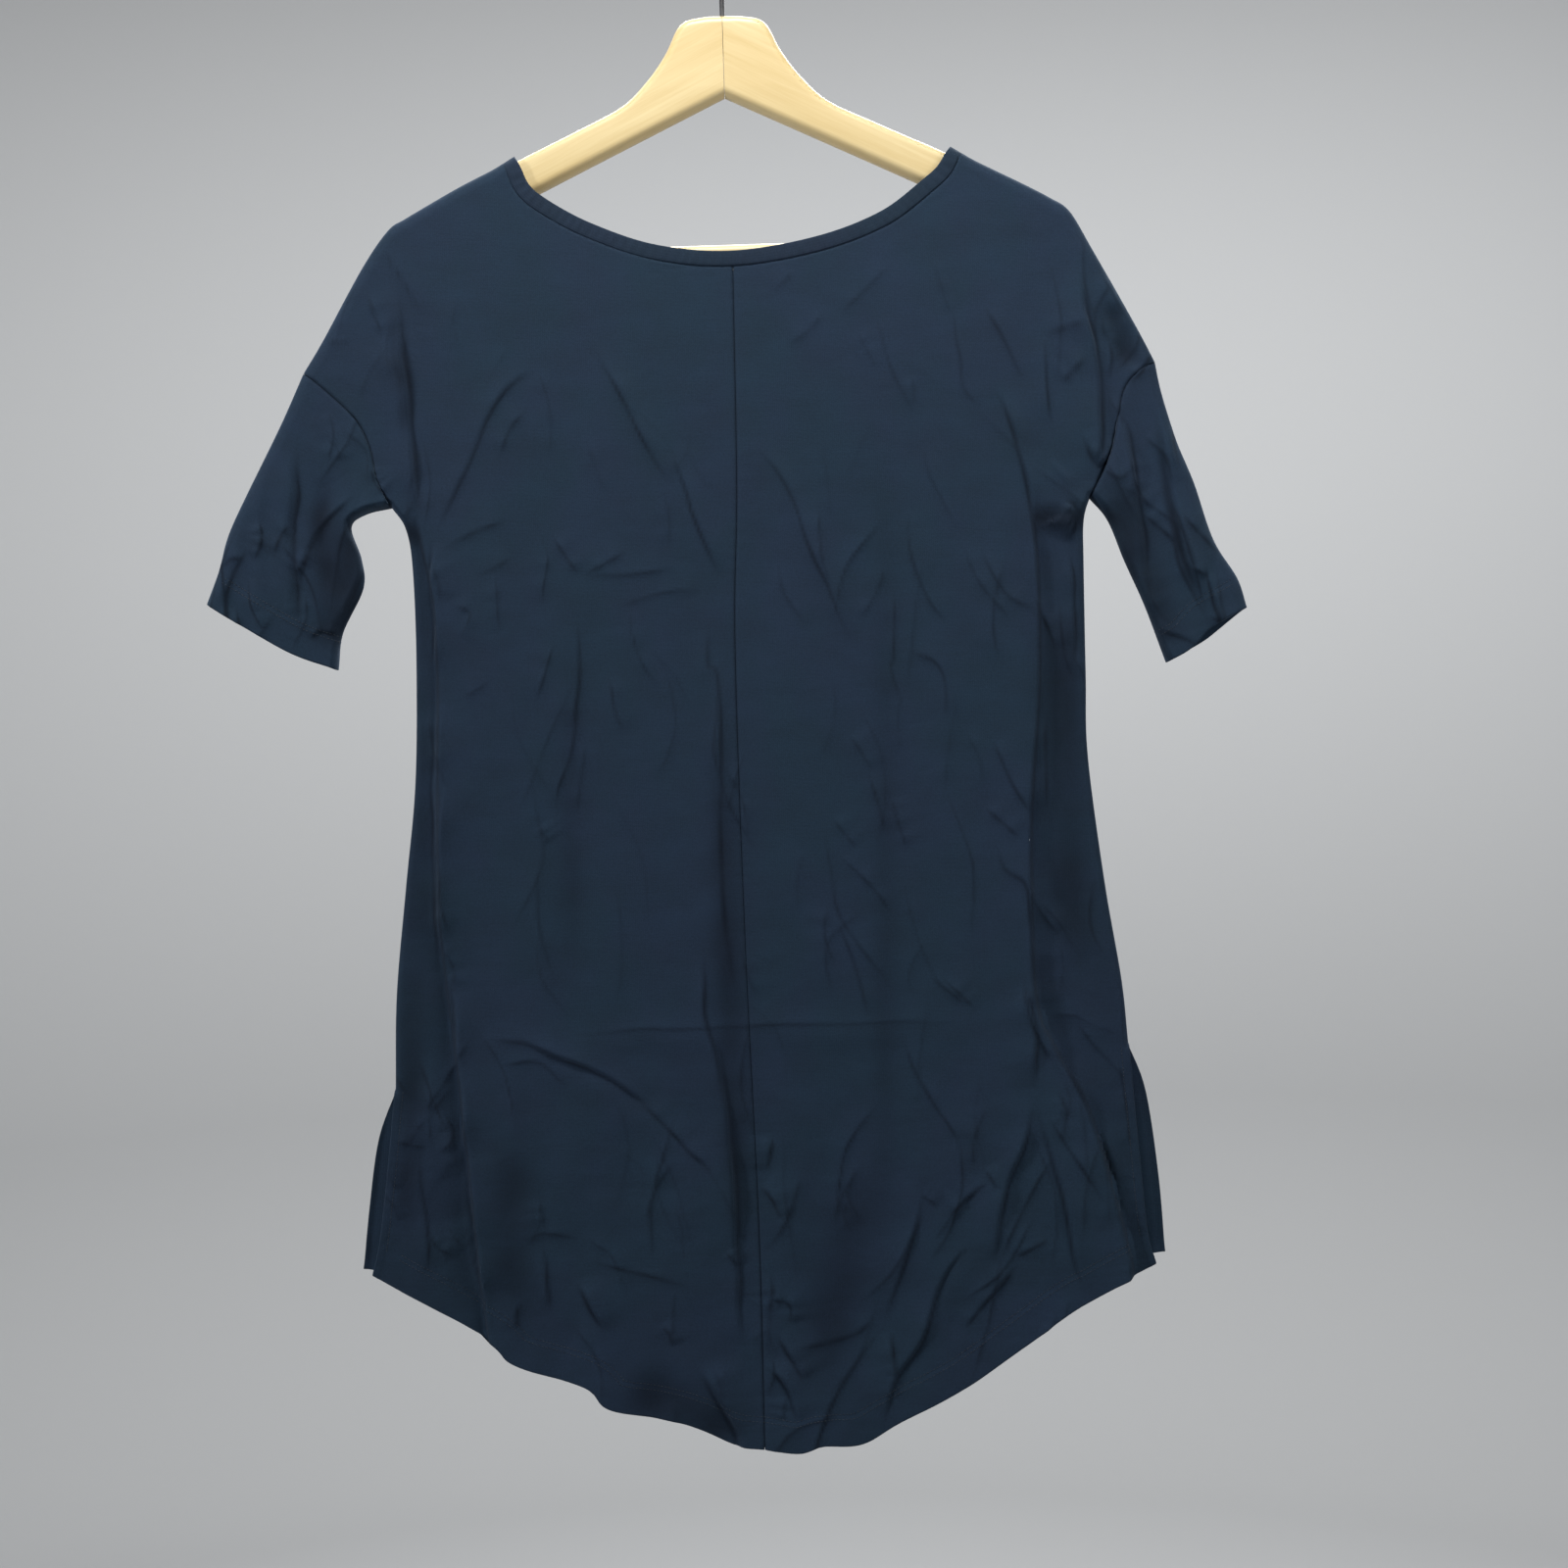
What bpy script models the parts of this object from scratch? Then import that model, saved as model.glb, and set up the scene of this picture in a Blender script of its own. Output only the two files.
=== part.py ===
"""A round neck blouse of navy jersey, hanging on a wooden hanger.

The origin is the top of the inside of the hook, where it rests on a rail. +Z is up, the garment's
back faces -Y, and left and right are as seen from there. Every size is in millimetres.

The cloth is flat sheets between edge lines. Each sheet has a grid of points, in rows from its top
edge to its hem, and one function says how far each point stands from the hanger's middle plane.
"""

import bmesh
import bpy
import numpy as np

MM = 0.001

# Cloth: walls, seams and the neck band
WALL = 1.2
BAND_WALL = 2.2
BAND_PROUD = 0.5
BAND_WIDTH = 9.4
BAND_WIDTH_AT_SHOULDER = 7.4
SEAM_GAP = 0.36
FOLD_SEAM_GAP = 1.2
ARMHOLE_GAP = 0.7

# How far the cloth stands from the middle plane, and how it turns over at its folded edges
SHOULDER_HALF_DEPTH = 9.5
HEM_HALF_DEPTH = 12.0
SLEEVE_HALF_DEPTH = 8.0
STRIP_HALF_DEPTH = 4.6
SHOULDER_ROUND = 9.5
SIDE_ROUND = 4.5
LIP_WIDTH = 9.0

# Hanger
ARM_THICKNESS = 13.0
ARM_EDGE_ROUND = 5.5
BAR_RADIUS = 5.0
BAR_HEIGHT = -224.0
SOCKET_DEPTH = 8.0
FIT_GAP = 0.3
WIRE_RADIUS = 1.6
HOOK_RADIUS = 20.6
HOOK_CENTRE_Z = -19.0
SHANK_END_Z = -98.0
STEM_TOP_Z = -54.0
STEPS_PER_PLACE = 24

# Outlines. Each row is one place: what is there, x and z.
NECK_SEAM_BACK = (
    ("left neck point", -141.5, -162.6),
    ("left bend", -134.0, -183.0),
    ("left quarter", -120.0, -196.4),
    ("left slope", -90.0, -213.6),
    ("left low", -48.0, -228.8),
    ("centre back", 2.0, -234.2),
    ("right low", 57.0, -226.6),
    ("right slope", 100.0, -211.6),
    ("right quarter", 129.0, -191.4),
    ("right bend", 142.0, -179.4),
    ("right neck point", 149.0, -164.8),
)
NECK_SEAM_FRONT = (
    ("left neck point", -141.5, -162.6),
    ("left bend", -131.0, -192.0),
    ("left slope", -101.0, -238.0),
    ("left low", -54.0, -268.0),
    ("centre front", 2.0, -278.0),
    ("right low", 59.0, -268.0),
    ("right slope", 107.0, -238.0),
    ("right bend", 138.5, -192.0),
    ("right neck point", 149.0, -164.8),
)
LEFT_SHOULDER = (
    ("neck point", -141.5, -162.6),
    ("on the arm", -150.0, -167.4),
    ("middle of the arm", -170.0, -177.0),
    ("end of the arm", -190.0, -187.7),
    ("over the arm's end", -206.0, -196.6),
    ("turn", -217.0, -203.6),
    ("drop", -234.0, -226.8),
    ("drop shoulder", -260.6, -272.4),
    ("sleeve seam", -273.7, -293.0),
)
RIGHT_SHOULDER = (
    ("neck point", 149.0, -164.8),
    ("on the arm", 158.0, -170.3),
    ("middle of the arm", 170.0, -176.6),
    ("end of the arm", 190.0, -187.0),
    ("over the arm's end", 205.0, -195.4),
    ("turn", 217.5, -204.6),
    ("drop", 231.6, -230.0),
    ("drop shoulder", 256.0, -276.0),
    ("sleeve seam", 268.8, -302.1),
)
LEFT_ARMHOLE = (
    ("sleeve seam", -273.7, -293.0),
    ("near the top", -261.5, -302.7),
    ("bend", -240.3, -324.0),
    ("inner", -231.5, -342.0),
    ("low", -227.5, -362.0),
    ("underarm", -220.0, -380.0),
)
RIGHT_ARMHOLE = (
    ("sleeve seam", 268.8, -302.1),
    ("near the top", 257.0, -308.5),
    ("bend", 248.0, -319.0),
    ("inner", 243.6, -334.0),
    ("low", 237.5, -360.0),
    ("underarm", 224.5, -387.0),
)
LEFT_SIDE = (
    ("underarm", -220.0, -380.0),
    ("below the underarm", -211.5, -394.0),
    ("chest", -208.0, -420.0),
    ("waist", -207.5, -480.0),
    ("below the waist", -210.5, -556.0),
    ("hip", -218.5, -622.0),
    ("low hip", -226.4, -690.0),
    ("slit", -228.9, -750.2),
)
RIGHT_SIDE = (
    ("underarm", 224.5, -387.0),
    ("below the underarm", 220.4, -402.0),
    ("chest", 219.6, -430.0),
    ("waist", 218.8, -500.0),
    ("below the waist", 218.6, -552.0),
    ("hip", 226.8, -632.0),
    ("low hip", 235.6, -694.0),
    ("slit", 238.7, -735.0),
)
LEFT_SLIT_BACK = (
    ("slit", -228.9, -750.2),
    ("middle", -234.9, -802.5),
    ("low", -241.2, -846.0),
    ("hem corner", -246.5, -867.7),
)
LEFT_SLIT_FRONT = (
    ("slit", -228.9, -750.2),
    ("middle", -241.5, -782.0),
    ("low", -248.7, -826.0),
    ("hem corner", -253.7, -865.1),
)
RIGHT_SLIT_BACK = (
    ("slit", 238.7, -735.0),
    ("middle", 241.7, -785.0),
    ("low", 246.6, -852.0),
    ("hem corner", 251.9, -875.6),
)
RIGHT_SLIT_FRONT = (
    ("slit", 238.7, -735.0),
    ("middle", 249.5, -766.0),
    ("low", 256.0, -820.0),
    ("hem corner", 258.9, -869.5),
)
CENTRE_BACK = (
    ("neck seam", 2.0, -234.2),
    ("shoulder blades", 0.2, -375.0),
    ("waist", -3.9, -475.0),
    ("hip", -3.2, -660.0),
    ("tail", 0.0, -844.0),
    ("hem", -0.5, -983.4),
)
CENTRE_FRONT = (
    ("neck seam", 2.0, -278.0),
    ("hem", 0.0, -890.0),
)
LEFT_HEM_BACK = (
    ("centre back", -0.5, -983.4),
    ("first wave", -21.0, -979.8),
    ("first hollow", -50.4, -966.8),
    ("second wave", -97.0, -955.6),
    ("second hollow", -113.0, -941.0),
    ("third wave", -157.0, -925.6),
    ("third hollow", -176.0, -908.8),
    ("hem corner", -246.5, -867.7),
)
RIGHT_HEM_BACK = (
    ("centre back", -0.5, -983.4),
    ("tail", 21.0, -986.6),
    ("first hollow", 36.0, -982.6),
    ("first wave", 61.7, -981.6),
    ("second hollow", 87.0, -968.7),
    ("curve", 131.5, -946.6),
    ("third hollow", 170.0, -921.2),
    ("flat", 203.0, -899.6),
    ("hem corner", 251.9, -875.6),
)
LEFT_HEM_FRONT = (
    ("centre front", 0.0, -890.0),
    ("curve", -135.0, -884.0),
    ("hem corner", -253.7, -865.1),
)
RIGHT_HEM_FRONT = (
    ("centre front", 0.0, -890.0),
    ("curve", 135.0, -886.0),
    ("hem corner", 258.9, -869.5),
)
LEFT_SLEEVE_FOLD = (
    ("sleeve seam", -273.7, -293.0),
    ("upper", -287.1, -321.3),
    ("middle", -300.4, -347.2),
    ("lower", -323.0, -391.0),
    ("near the cuff", -330.5, -416.0),
    ("cuff", -339.4, -437.9),
)
RIGHT_SLEEVE_FOLD = (
    ("sleeve seam", 268.8, -302.1),
    ("upper", 272.5, -322.0),
    ("middle", 281.0, -352.5),
    ("lower", 291.5, -380.0),
    ("near the cuff", 302.5, -416.0),
    ("above the cuff", 317.0, -441.0),
    ("cuff", 322.7, -460.0),
)
LEFT_UNDERSLEEVE = (
    ("underarm", -220.0, -380.0),
    ("roll", -237.0, -383.6),
    ("roll's end", -246.5, -391.5),
    ("hollow", -240.5, -412.0),
    ("inner", -240.0, -431.0),
    ("near the cuff", -254.0, -459.0),
    ("cuff", -257.6, -482.3),
)
RIGHT_UNDERSLEEVE = (
    ("underarm", 224.5, -387.0),
    ("upper", 235.7, -401.5),
    ("middle", 245.6, -427.7),
    ("lower", 258.2, -458.0),
    ("cuff", 270.4, -493.5),
)
LEFT_CUFF = (
    ("outer", -339.4, -437.9),
    ("upper", -316.0, -453.0),
    ("middle", -285.4, -471.5),
    ("inner", -257.6, -482.3),
)
RIGHT_CUFF_BACK = (
    ("outer", 322.7, -460.0),
    ("hollow", 306.0, -468.4),
    ("turn", 296.5, -474.0),
    ("low", 285.0, -485.6),
    ("inner", 270.4, -493.5),
)
RIGHT_CUFF_FRONT = (
    ("outer", 322.7, -460.0),
    ("upper", 306.0, -473.0),
    ("middle", 293.9, -481.5),
    ("inner", 270.4, -493.5),
)
# Where the side of the body falls back behind the main plane
LEFT_LIP = (
    ("underarm", -203.0, -385.0),
    ("chest", -200.9, -406.5),
    ("waist", -193.4, -463.0),
    ("hip", -196.0, -610.0),
    ("low hip", -193.7, -682.0),
    ("slit", -187.4, -744.6),
    ("hem", -173.7, -907.6),
)
RIGHT_LIP = (
    ("underarm", 186.0, -388.0),
    ("chest", 189.8, -431.0),
    ("waist", 188.8, -506.0),
    ("hip", 181.0, -590.0),
    ("low hip", 180.0, -700.0),
    ("slit", 193.0, -739.0),
    ("flap", 212.0, -777.0),
    ("hem", 236.0, -870.0),
)
# The largest folds: from x, z to x, z, how wide, and how far out of the cloth (minus is a valley)
FOLDS = (
    ("left drop shoulder valley", -210, -260, -203, -385, 9, -3.0),
    ("right drop shoulder fold", 224, -245, 230, -370, 8, 1.6),
    ("right drop shoulder valley", 243, -264, 239, -350, 9, -2.6),
    ("left sleeve valley", -262, -356, -258, -440, 9, -2.2),
    ("right sleeve valley", 247, -345, 259, -450, 9, -2.2),
    ("fold across the hips", -150, -716, 170, -717, 13, 1.4),
    ("valley beside the centre seam", -16, -500, -12, -900, 15, -2.0),
    ("low left fold", -152, -715, -29, -804, 13, 2.0),
    ("low right fold", 178, -768, 148, -875, 15, 2.4),
    ("tail fold", 138, -854, 84, -942, 13, 2.0),
    ("upper left fold", -87, -282, -10, -437, 13, 1.5),
    ("upper right fold", 11, -344, 71, -480, 13, 1.5),
)
ARM_TOP = (
    ("joint", 0.0, -73.75),
    ("crown", 13.0, -74.2),
    ("crown's end", 27.0, -78.6),
    ("neck", 37.0, -97.0),
    ("neck's foot", 49.0, -113.5),
    ("shoulder", 66.0, -129.6),
    ("slope", 96.0, -144.5),
    ("under the band", 133.0, -161.8),
    ("outer slope", 170.0, -179.4),
    ("near the end", 203.0, -197.4),
    ("end", 213.6, -207.4),
    ("end's side", 214.6, -221.0),
    ("end's foot", 208.0, -231.6),
)
ARM_FOOT = (("outer corner", 201.0, -233.4), ("inner corner", 189.5, -233.4), ("inner top", 189.5, -217.0))
ARM_UNDERSIDE = (("block", 189.5, -217.0), ("middle", 120.0, -182.5), ("joint", 0.0, -125.0))

# The grid's lines, in shares of an edge's length or in millimetres from its end
NECK_SHARES = (0.0, 0.17, 0.34, 0.5, 0.65, 0.78, 0.89)
NECK_END_STEPS = (6.0, 1.5, 0.0)
HALF_NECK_LENGTH = 170.0
SHOULDER_SHARES = (0.2, 0.4, 0.6, 0.8)
SIDE_STEPS = (0.032, 0.014, 0.0018, 0.0)
RIDGE_STEPS = (0.0, 0.35, 3.0, 9.5)
ARMHOLE_STEPS = (30.0, 52.0, 74.0)
UNDERARM_STEPS = (4.5, 1.3, 0.0)
SIDE_ROWS = 10
SLIT_ROWS = 4
SLEEVE_ROWS = 9
NECK_SHARE_OF_TOP = 0.6
EDGE_FADE = 2.5

# Colours, roughness and metallic value
JERSEY = ("navy jersey", (0.028, 0.043, 0.064), 0.92, 0.0)
BAND_JERSEY = ("navy jersey band", (0.022, 0.034, 0.052), 0.92, 0.0)
WOOD = ("pale wood", (0.86, 0.72, 0.43), 0.45, 0.0)
STEEL = ("steel wire", (0.35, 0.35, 0.36), 0.3, 1.0)


def smooth(places):
    """A smooth line of x, z points through a table's places."""
    knots = np.array([place[1:] for place in places])
    knots = np.vstack([2 * knots[0] - knots[1], knots, 2 * knots[-1] - knots[-2]])
    share = np.linspace(0, 1, STEPS_PER_PLACE, endpoint=False)[:, None]
    line = []
    for before, start, end, after in zip(knots, knots[1:], knots[2:], knots[3:]):
        bend = 2 * before - 5 * start + 4 * end - after
        twist = 3 * start - before - 3 * end + after
        line.append(start + 0.5 * share * (end - before + share * (bend + share * twist)))
    return np.vstack([*line, knots[-2:-1]])


def joined(*lines):
    return np.vstack([lines[0], *(line[1:] for line in lines[1:])])


def length_of(line):
    return np.linalg.norm(np.diff(line, axis=0), axis=1).sum()


def along(line, shares):
    """The points of a line at these shares of its length."""
    steps = np.linalg.norm(np.diff(line, axis=0), axis=1)
    reached = np.concatenate([[0], np.cumsum(steps)]) / steps.sum()
    return np.column_stack([np.interp(shares, reached, line[:, axis]) for axis in (0, 1)])


def moved_left(points, distance):
    """The points of a line moved to the left of the way it runs."""
    run = np.gradient(points, axis=0)
    run /= np.linalg.norm(run, axis=1)[:, None]
    return points + distance * np.column_stack([-run[:, 1], run[:, 0]])


def distance_to(line, points):
    """How far each x, z point is from a line of x, z points."""
    start = line[:-1]
    step = line[1:] - start
    shape = points.shape[:-1]
    points = points.reshape(-1, 1, 2)
    share = ((points - start) * step).sum(-1) / np.maximum((step**2).sum(-1), 1e-9)
    nearest = start + np.clip(share, 0, 1)[..., None] * step
    return np.linalg.norm(points - nearest, axis=-1).min(axis=1).reshape(shape)


def ease(share):
    share = np.clip(share, 0, 1)
    return share * share * (3 - 2 * share)


def turn_over(distance, radius):
    """How much of its depth the cloth has at a distance from its folded edge."""
    return np.sqrt(1 - (1 - np.clip(distance / radius, 0, 1)) ** 2)


class Side:
    """The edge lines of one side of the garment."""

    def __init__(self, shoulder, armhole, side, slits, hems, fold, undersleeve, cuffs, lip):
        self.shoulder = smooth(shoulder)
        self.armhole = smooth(armhole)
        self.side = smooth(side)
        self.slit = dict(zip(("back", "front"), map(smooth, slits)))
        self.hem = dict(zip(("back", "front"), map(smooth, hems)))
        self.fold = smooth(fold)
        self.undersleeve = smooth(undersleeve)
        self.cuff = dict(zip(("back", "front"), map(smooth, cuffs)))
        self.lip = smooth(lip)
        self.sign = np.sign(self.shoulder[0, 0])
        neck, outwards = self.shoulder[0], self.shoulder[6] - self.shoulder[0]
        self.band_run = -outwards / np.linalg.norm(outwards)
        band_end = neck + 2 * BAND_WIDTH * self.band_run
        self.ridge = joined(np.array([band_end, neck]), self.shoulder, self.fold)
        self.closed_side = joined(self.undersleeve[::-1], self.side)


LEFT = Side(
    LEFT_SHOULDER,
    LEFT_ARMHOLE,
    LEFT_SIDE,
    (LEFT_SLIT_BACK, LEFT_SLIT_FRONT),
    (LEFT_HEM_BACK, LEFT_HEM_FRONT),
    LEFT_SLEEVE_FOLD,
    LEFT_UNDERSLEEVE,
    (LEFT_CUFF, LEFT_CUFF),
    LEFT_LIP,
)
RIGHT = Side(
    RIGHT_SHOULDER,
    RIGHT_ARMHOLE,
    RIGHT_SIDE,
    (RIGHT_SLIT_BACK, RIGHT_SLIT_FRONT),
    (RIGHT_HEM_BACK, RIGHT_HEM_FRONT),
    RIGHT_SLEEVE_FOLD,
    RIGHT_UNDERSLEEVE,
    (RIGHT_CUFF_BACK, RIGHT_CUFF_FRONT),
    RIGHT_LIP,
)
LAYER_SIGN = {"back": -1, "front": 1}


def sleeve_share(points):
    """0 on the body and 1 on the sleeves, which end well above the place where the hem is as wide."""
    x, z = points[..., 0], points[..., 1]
    return ease((np.abs(x) - 232) / 30) * ease((z + 600) / 60)


def strip_share(side, points):
    """0 on the main plane and 1 beyond the lip, where the side of the body falls back."""
    x, z = points[..., 0], points[..., 1]
    heights = side.lip[::-1, 1]
    lip_x = np.interp(z, heights, side.lip[::-1, 0])
    below_underarm = ease((side.lip[0, 1] - z) / 25)
    beyond_lip = ease(0.5 + side.sign * (x - lip_x) / LIP_WIDTH)
    return beyond_lip * below_underarm * (1 - sleeve_share(points))


def fold_height(points, layer):
    """What the large folds add. The front, which is hidden, has them the other way round."""
    total = np.zeros(points.shape[:-1])
    mirror = -LAYER_SIGN[layer]
    for _, x1, z1, x2, z2, width, height in FOLDS:
        line = np.array([(mirror * x1, z1), (mirror * x2, z2)], float)
        total += height * np.exp(-((distance_to(line, points) / width) ** 2))
    return total


def depth(side, points, layer, seam):
    """How far the cloth's outside stands from the middle plane at x, z points."""
    towards_hem = ease((-450 - points[..., 1]) / 400)
    body = SHOULDER_HALF_DEPTH + (HEM_HALF_DEPTH - SHOULDER_HALF_DEPTH) * towards_hem
    plain = body + (SLEEVE_HALF_DEPTH - body) * sleeve_share(points) + fold_height(points, layer)
    full = plain + (STRIP_HALF_DEPTH - plain) * strip_share(side, points)
    over_shoulder = turn_over(distance_to(side.ridge, points), SHOULDER_ROUND)
    over_side = turn_over(distance_to(side.closed_side, points), SIDE_ROUND)
    return seam / 2 + (full - seam / 2) * over_shoulder * over_side


def half_neck(seam, side):
    """The half of a neck seam from its middle to this side's neck point."""
    middle = STEPS_PER_PLACE * (len(seam) // 2)
    line = smooth(seam)
    return line[: middle + 1][::-1] if side is LEFT else line[middle:]


def columns_of():
    """The grid's columns, from the centre to the side: 0 to NECK_SHARE_OF_TOP is the neck."""
    neck = [*NECK_SHARES, *(1 - step / HALF_NECK_LENGTH for step in NECK_END_STEPS)]
    shoulder = [NECK_SHARE_OF_TOP + (1 - NECK_SHARE_OF_TOP) * share for share in SHOULDER_SHARES]
    side = [1 - step for step in SIDE_STEPS]
    return np.array([*(NECK_SHARE_OF_TOP * share for share in neck), *shoulder, *side])


def armhole_places(side):
    """Distances along the armhole from the shoulder, where the grid has a row."""
    length = length_of(side.armhole)
    return np.array([*RIDGE_STEPS, *ARMHOLE_STEPS, *(length - step for step in UNDERARM_STEPS)])


def patch(top, bottom, start, end, columns, rows):
    """The points between four edge lines, whose bends fade away from each edge."""
    across, down = columns[:, None], rows[:, None]

    def bend(line, share):
        return line - ((1 - share) * line[0] + share * line[-1])

    flat_top = (1 - across) * top[0] + across * top[-1]
    flat_bottom = (1 - across) * bottom[0] + across * bottom[-1]
    down, across = down[:, None], across[None]
    plain = (1 - down) * flat_top + down * flat_bottom
    from_ends = (1 - down) ** EDGE_FADE * bend(top, across[0]) + down**EDGE_FADE * bend(bottom, across[0])
    start_bend, end_bend = bend(start, rows[:, None])[:, None], bend(end, rows[:, None])[:, None]
    from_sides = (1 - across) ** EDGE_FADE * start_bend + across**EDGE_FADE * end_bend
    return plain + from_ends + from_sides


def panel_points(side, layer, neck_seam, centre):
    """x, z of a half panel's grid, in rows from the neck and shoulder to the hem."""
    columns = columns_of()
    in_neck = columns <= NECK_SHARE_OF_TOP
    neck = along(half_neck(neck_seam, side), columns[in_neck] / NECK_SHARE_OF_TOP)
    neck = moved_left(neck, -side.sign * SEAM_GAP / 2)
    neck[-1] = side.shoulder[0] - side.band_run * SEAM_GAP / 2
    rest = (columns[~in_neck] - NECK_SHARE_OF_TOP) / (1 - NECK_SHARE_OF_TOP)
    top = np.vstack([neck, along(side.shoulder, rest)])
    bottom = along(side.hem[layer], columns)

    armhole = along(side.armhole, armhole_places(side) / length_of(side.armhole))
    armhole = moved_left(armhole, side.sign * -ARMHOLE_GAP / 2)
    body_side = along(side.side, np.linspace(0, 1, SIDE_ROWS + 1)[1:])
    slit = along(side.slit[layer], np.linspace(0, 1, SLIT_ROWS + 1)[1:])
    outer = np.vstack([armhole, body_side, slit])
    steps = np.linalg.norm(np.diff(outer, axis=0), axis=1)
    rows = np.minimum(np.concatenate([[0], np.cumsum(steps)]) / steps.sum(), 1)
    inner = along(centre, rows)
    top[-1], bottom[-1] = outer[0], outer[-1]

    return patch(top, bottom, inner, outer, columns, rows)


def sleeve_points(side, layer):
    """x, z of one layer of a sleeve, in rows from the armhole to the cuff."""
    places = armhole_places(side) / length_of(side.armhole)
    top = moved_left(along(side.armhole, places), side.sign * ARMHOLE_GAP / 2)
    bottom = along(side.cuff[layer], places)
    rows = np.linspace(0, 1, SLEEVE_ROWS)
    outer = along(side.fold, rows)
    inner = along(side.undersleeve, rows)
    outer[0], inner[0] = top[0], top[-1]
    return patch(top, bottom, outer, inner, places, rows)


def band_points(side, layer, neck_seam):
    """x, z of half of the neck band, in rows from its seam to its free edge, centre first."""
    columns = columns_of()
    shares = columns[columns <= NECK_SHARE_OF_TOP] / NECK_SHARE_OF_TOP
    line = half_neck(neck_seam, side)
    seam = along(line, shares)
    inwards = moved_left(seam, side.sign) - seam
    near_shoulder = np.exp(-(((1 - shares) * length_of(line) / 7) ** 2))[:, None]
    inwards = inwards + near_shoulder * (side.band_run - inwards)
    inwards /= np.linalg.norm(inwards, axis=1)[:, None]
    width = BAND_WIDTH + (BAND_WIDTH_AT_SHOULDER - BAND_WIDTH) * near_shoulder
    rows = [seam + inwards * (SEAM_GAP / 2 + share * (width - SEAM_GAP / 2)) for share in (0, 0.5, 1)]
    return np.array(rows)


def standing(side, points, layer, seam=0.0, proud=0.0):
    """The x, y, z points of a layer of cloth."""
    y = LAYER_SIGN[layer] * (depth(side, points, layer, seam) + proud)
    return np.stack([points[..., 0], y, points[..., 1]], axis=-1)


def material(name, colour, roughness, metallic):
    made = bpy.data.materials.new(name)
    made.use_nodes = True
    shader = made.node_tree.nodes["Principled BSDF"]
    shader.inputs["Base Color"].default_value = (*colour, 1)
    shader.inputs["Roughness"].default_value = roughness
    shader.inputs["Metallic"].default_value = metallic
    made.diffuse_color = (*colour, 1)
    return made


def add_object(name, mesh, look):
    made = bpy.data.objects.new(name, mesh)
    mesh.materials.clear()
    mesh.materials.append(look)
    PARTS.objects.link(made)
    return made


def add_cloth(name, grid, wall, look, closed=False):
    """A sheet of cloth over a grid of points, thickened inwards."""
    rows, columns = grid.shape[:2]
    last = columns if closed else columns - 1
    faces = []
    for row in range(rows - 1):
        for column in range(last):
            after = (column + 1) % columns
            here, below = row * columns, (row + 1) * columns
            faces.append((here + column, here + after, below + after, below + column))
    mesh = bpy.data.meshes.new(name)
    mesh.from_pydata((grid.reshape(-1, 3) * MM).tolist(), [], faces)
    mesh.update()
    outwards = sum(face.normal.y * face.area * np.sign(face.center.y) for face in mesh.polygons)
    if outwards < 0:
        mesh.flip_normals()
    mesh.shade_smooth()
    cloth = add_object(name, mesh, look)
    shell = cloth.modifiers.new("wall", "SOLIDIFY")
    shell.thickness = wall * MM
    shell.offset = -1
    return cloth


def add_back(name, side, look):
    points = panel_points(side, "back", NECK_SEAM_BACK, smooth(CENTRE_BACK))
    points[:, 0, 0] += side.sign * SEAM_GAP / 2
    add_cloth(name, standing(side, points, "back", FOLD_SEAM_GAP), WALL, look)


def add_front(look):
    halves = []
    for side in (LEFT, RIGHT):
        points = panel_points(side, "front", NECK_SEAM_FRONT, smooth(CENTRE_FRONT))
        halves.append(standing(side, points, "front", FOLD_SEAM_GAP))
    left, right = halves
    middle = (left[:, :1] + right[:, :1]) / 2
    add_cloth("front", np.concatenate([left[:, :0:-1], middle, right[:, 1:]], axis=1), WALL, look)


def add_sleeve(name, side, look):
    near = standing(side, sleeve_points(side, "back"), "back")
    far = standing(side, sleeve_points(side, "front"), "front")
    ring = np.concatenate([near, far[:, -2:0:-1]], axis=1)
    add_cloth(name, ring, WALL, look, closed=True)


def add_neck_band(look):
    quarters = {}
    for layer, seam in (("back", NECK_SEAM_BACK), ("front", NECK_SEAM_FRONT)):
        for side in (LEFT, RIGHT):
            points = band_points(side, layer, seam)
            quarters[layer, side] = standing(side, points, layer, proud=BAND_PROUD)
            quarters[layer, side][:, -1, 1] = 0
            quarters[layer, side][:, -1, 2] += BAND_PROUD
    ring = [
        quarters["back", LEFT],
        quarters["front", LEFT][:, -2::-1],
        quarters["front", RIGHT][:, 1:],
        quarters["back", RIGHT][:, -2:0:-1],
    ]
    add_cloth("neck_band", np.concatenate(ring, axis=1), BAND_WALL, look, closed=True)


def as_mesh(curve_object):
    """A curve object's shape as a mesh with its caps welded on."""
    graph = bpy.context.evaluated_depsgraph_get()
    mesh = bpy.data.meshes.new_from_object(curve_object.evaluated_get(graph))
    shape = bmesh.new()
    shape.from_mesh(mesh)
    shape.transform(curve_object.matrix_world)
    bmesh.ops.remove_doubles(shape, verts=shape.verts, dist=0.01 * MM)
    shape.to_mesh(mesh)
    shape.free()
    bpy.data.objects.remove(curve_object)
    return mesh


def hanger_outline():
    """The outline of both arms, x and z, as one closed line."""
    top = along(smooth(ARM_TOP), np.linspace(0, 1, 34))
    foot = np.array([place[1:] for place in ARM_FOOT])
    underside = along(smooth(ARM_UNDERSIDE), np.linspace(0, 1, 6))
    right = np.vstack([top, foot, underside[1:]])
    left = right[-2:0:-1] * (-1, 1)
    return np.vstack([right, left])


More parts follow.
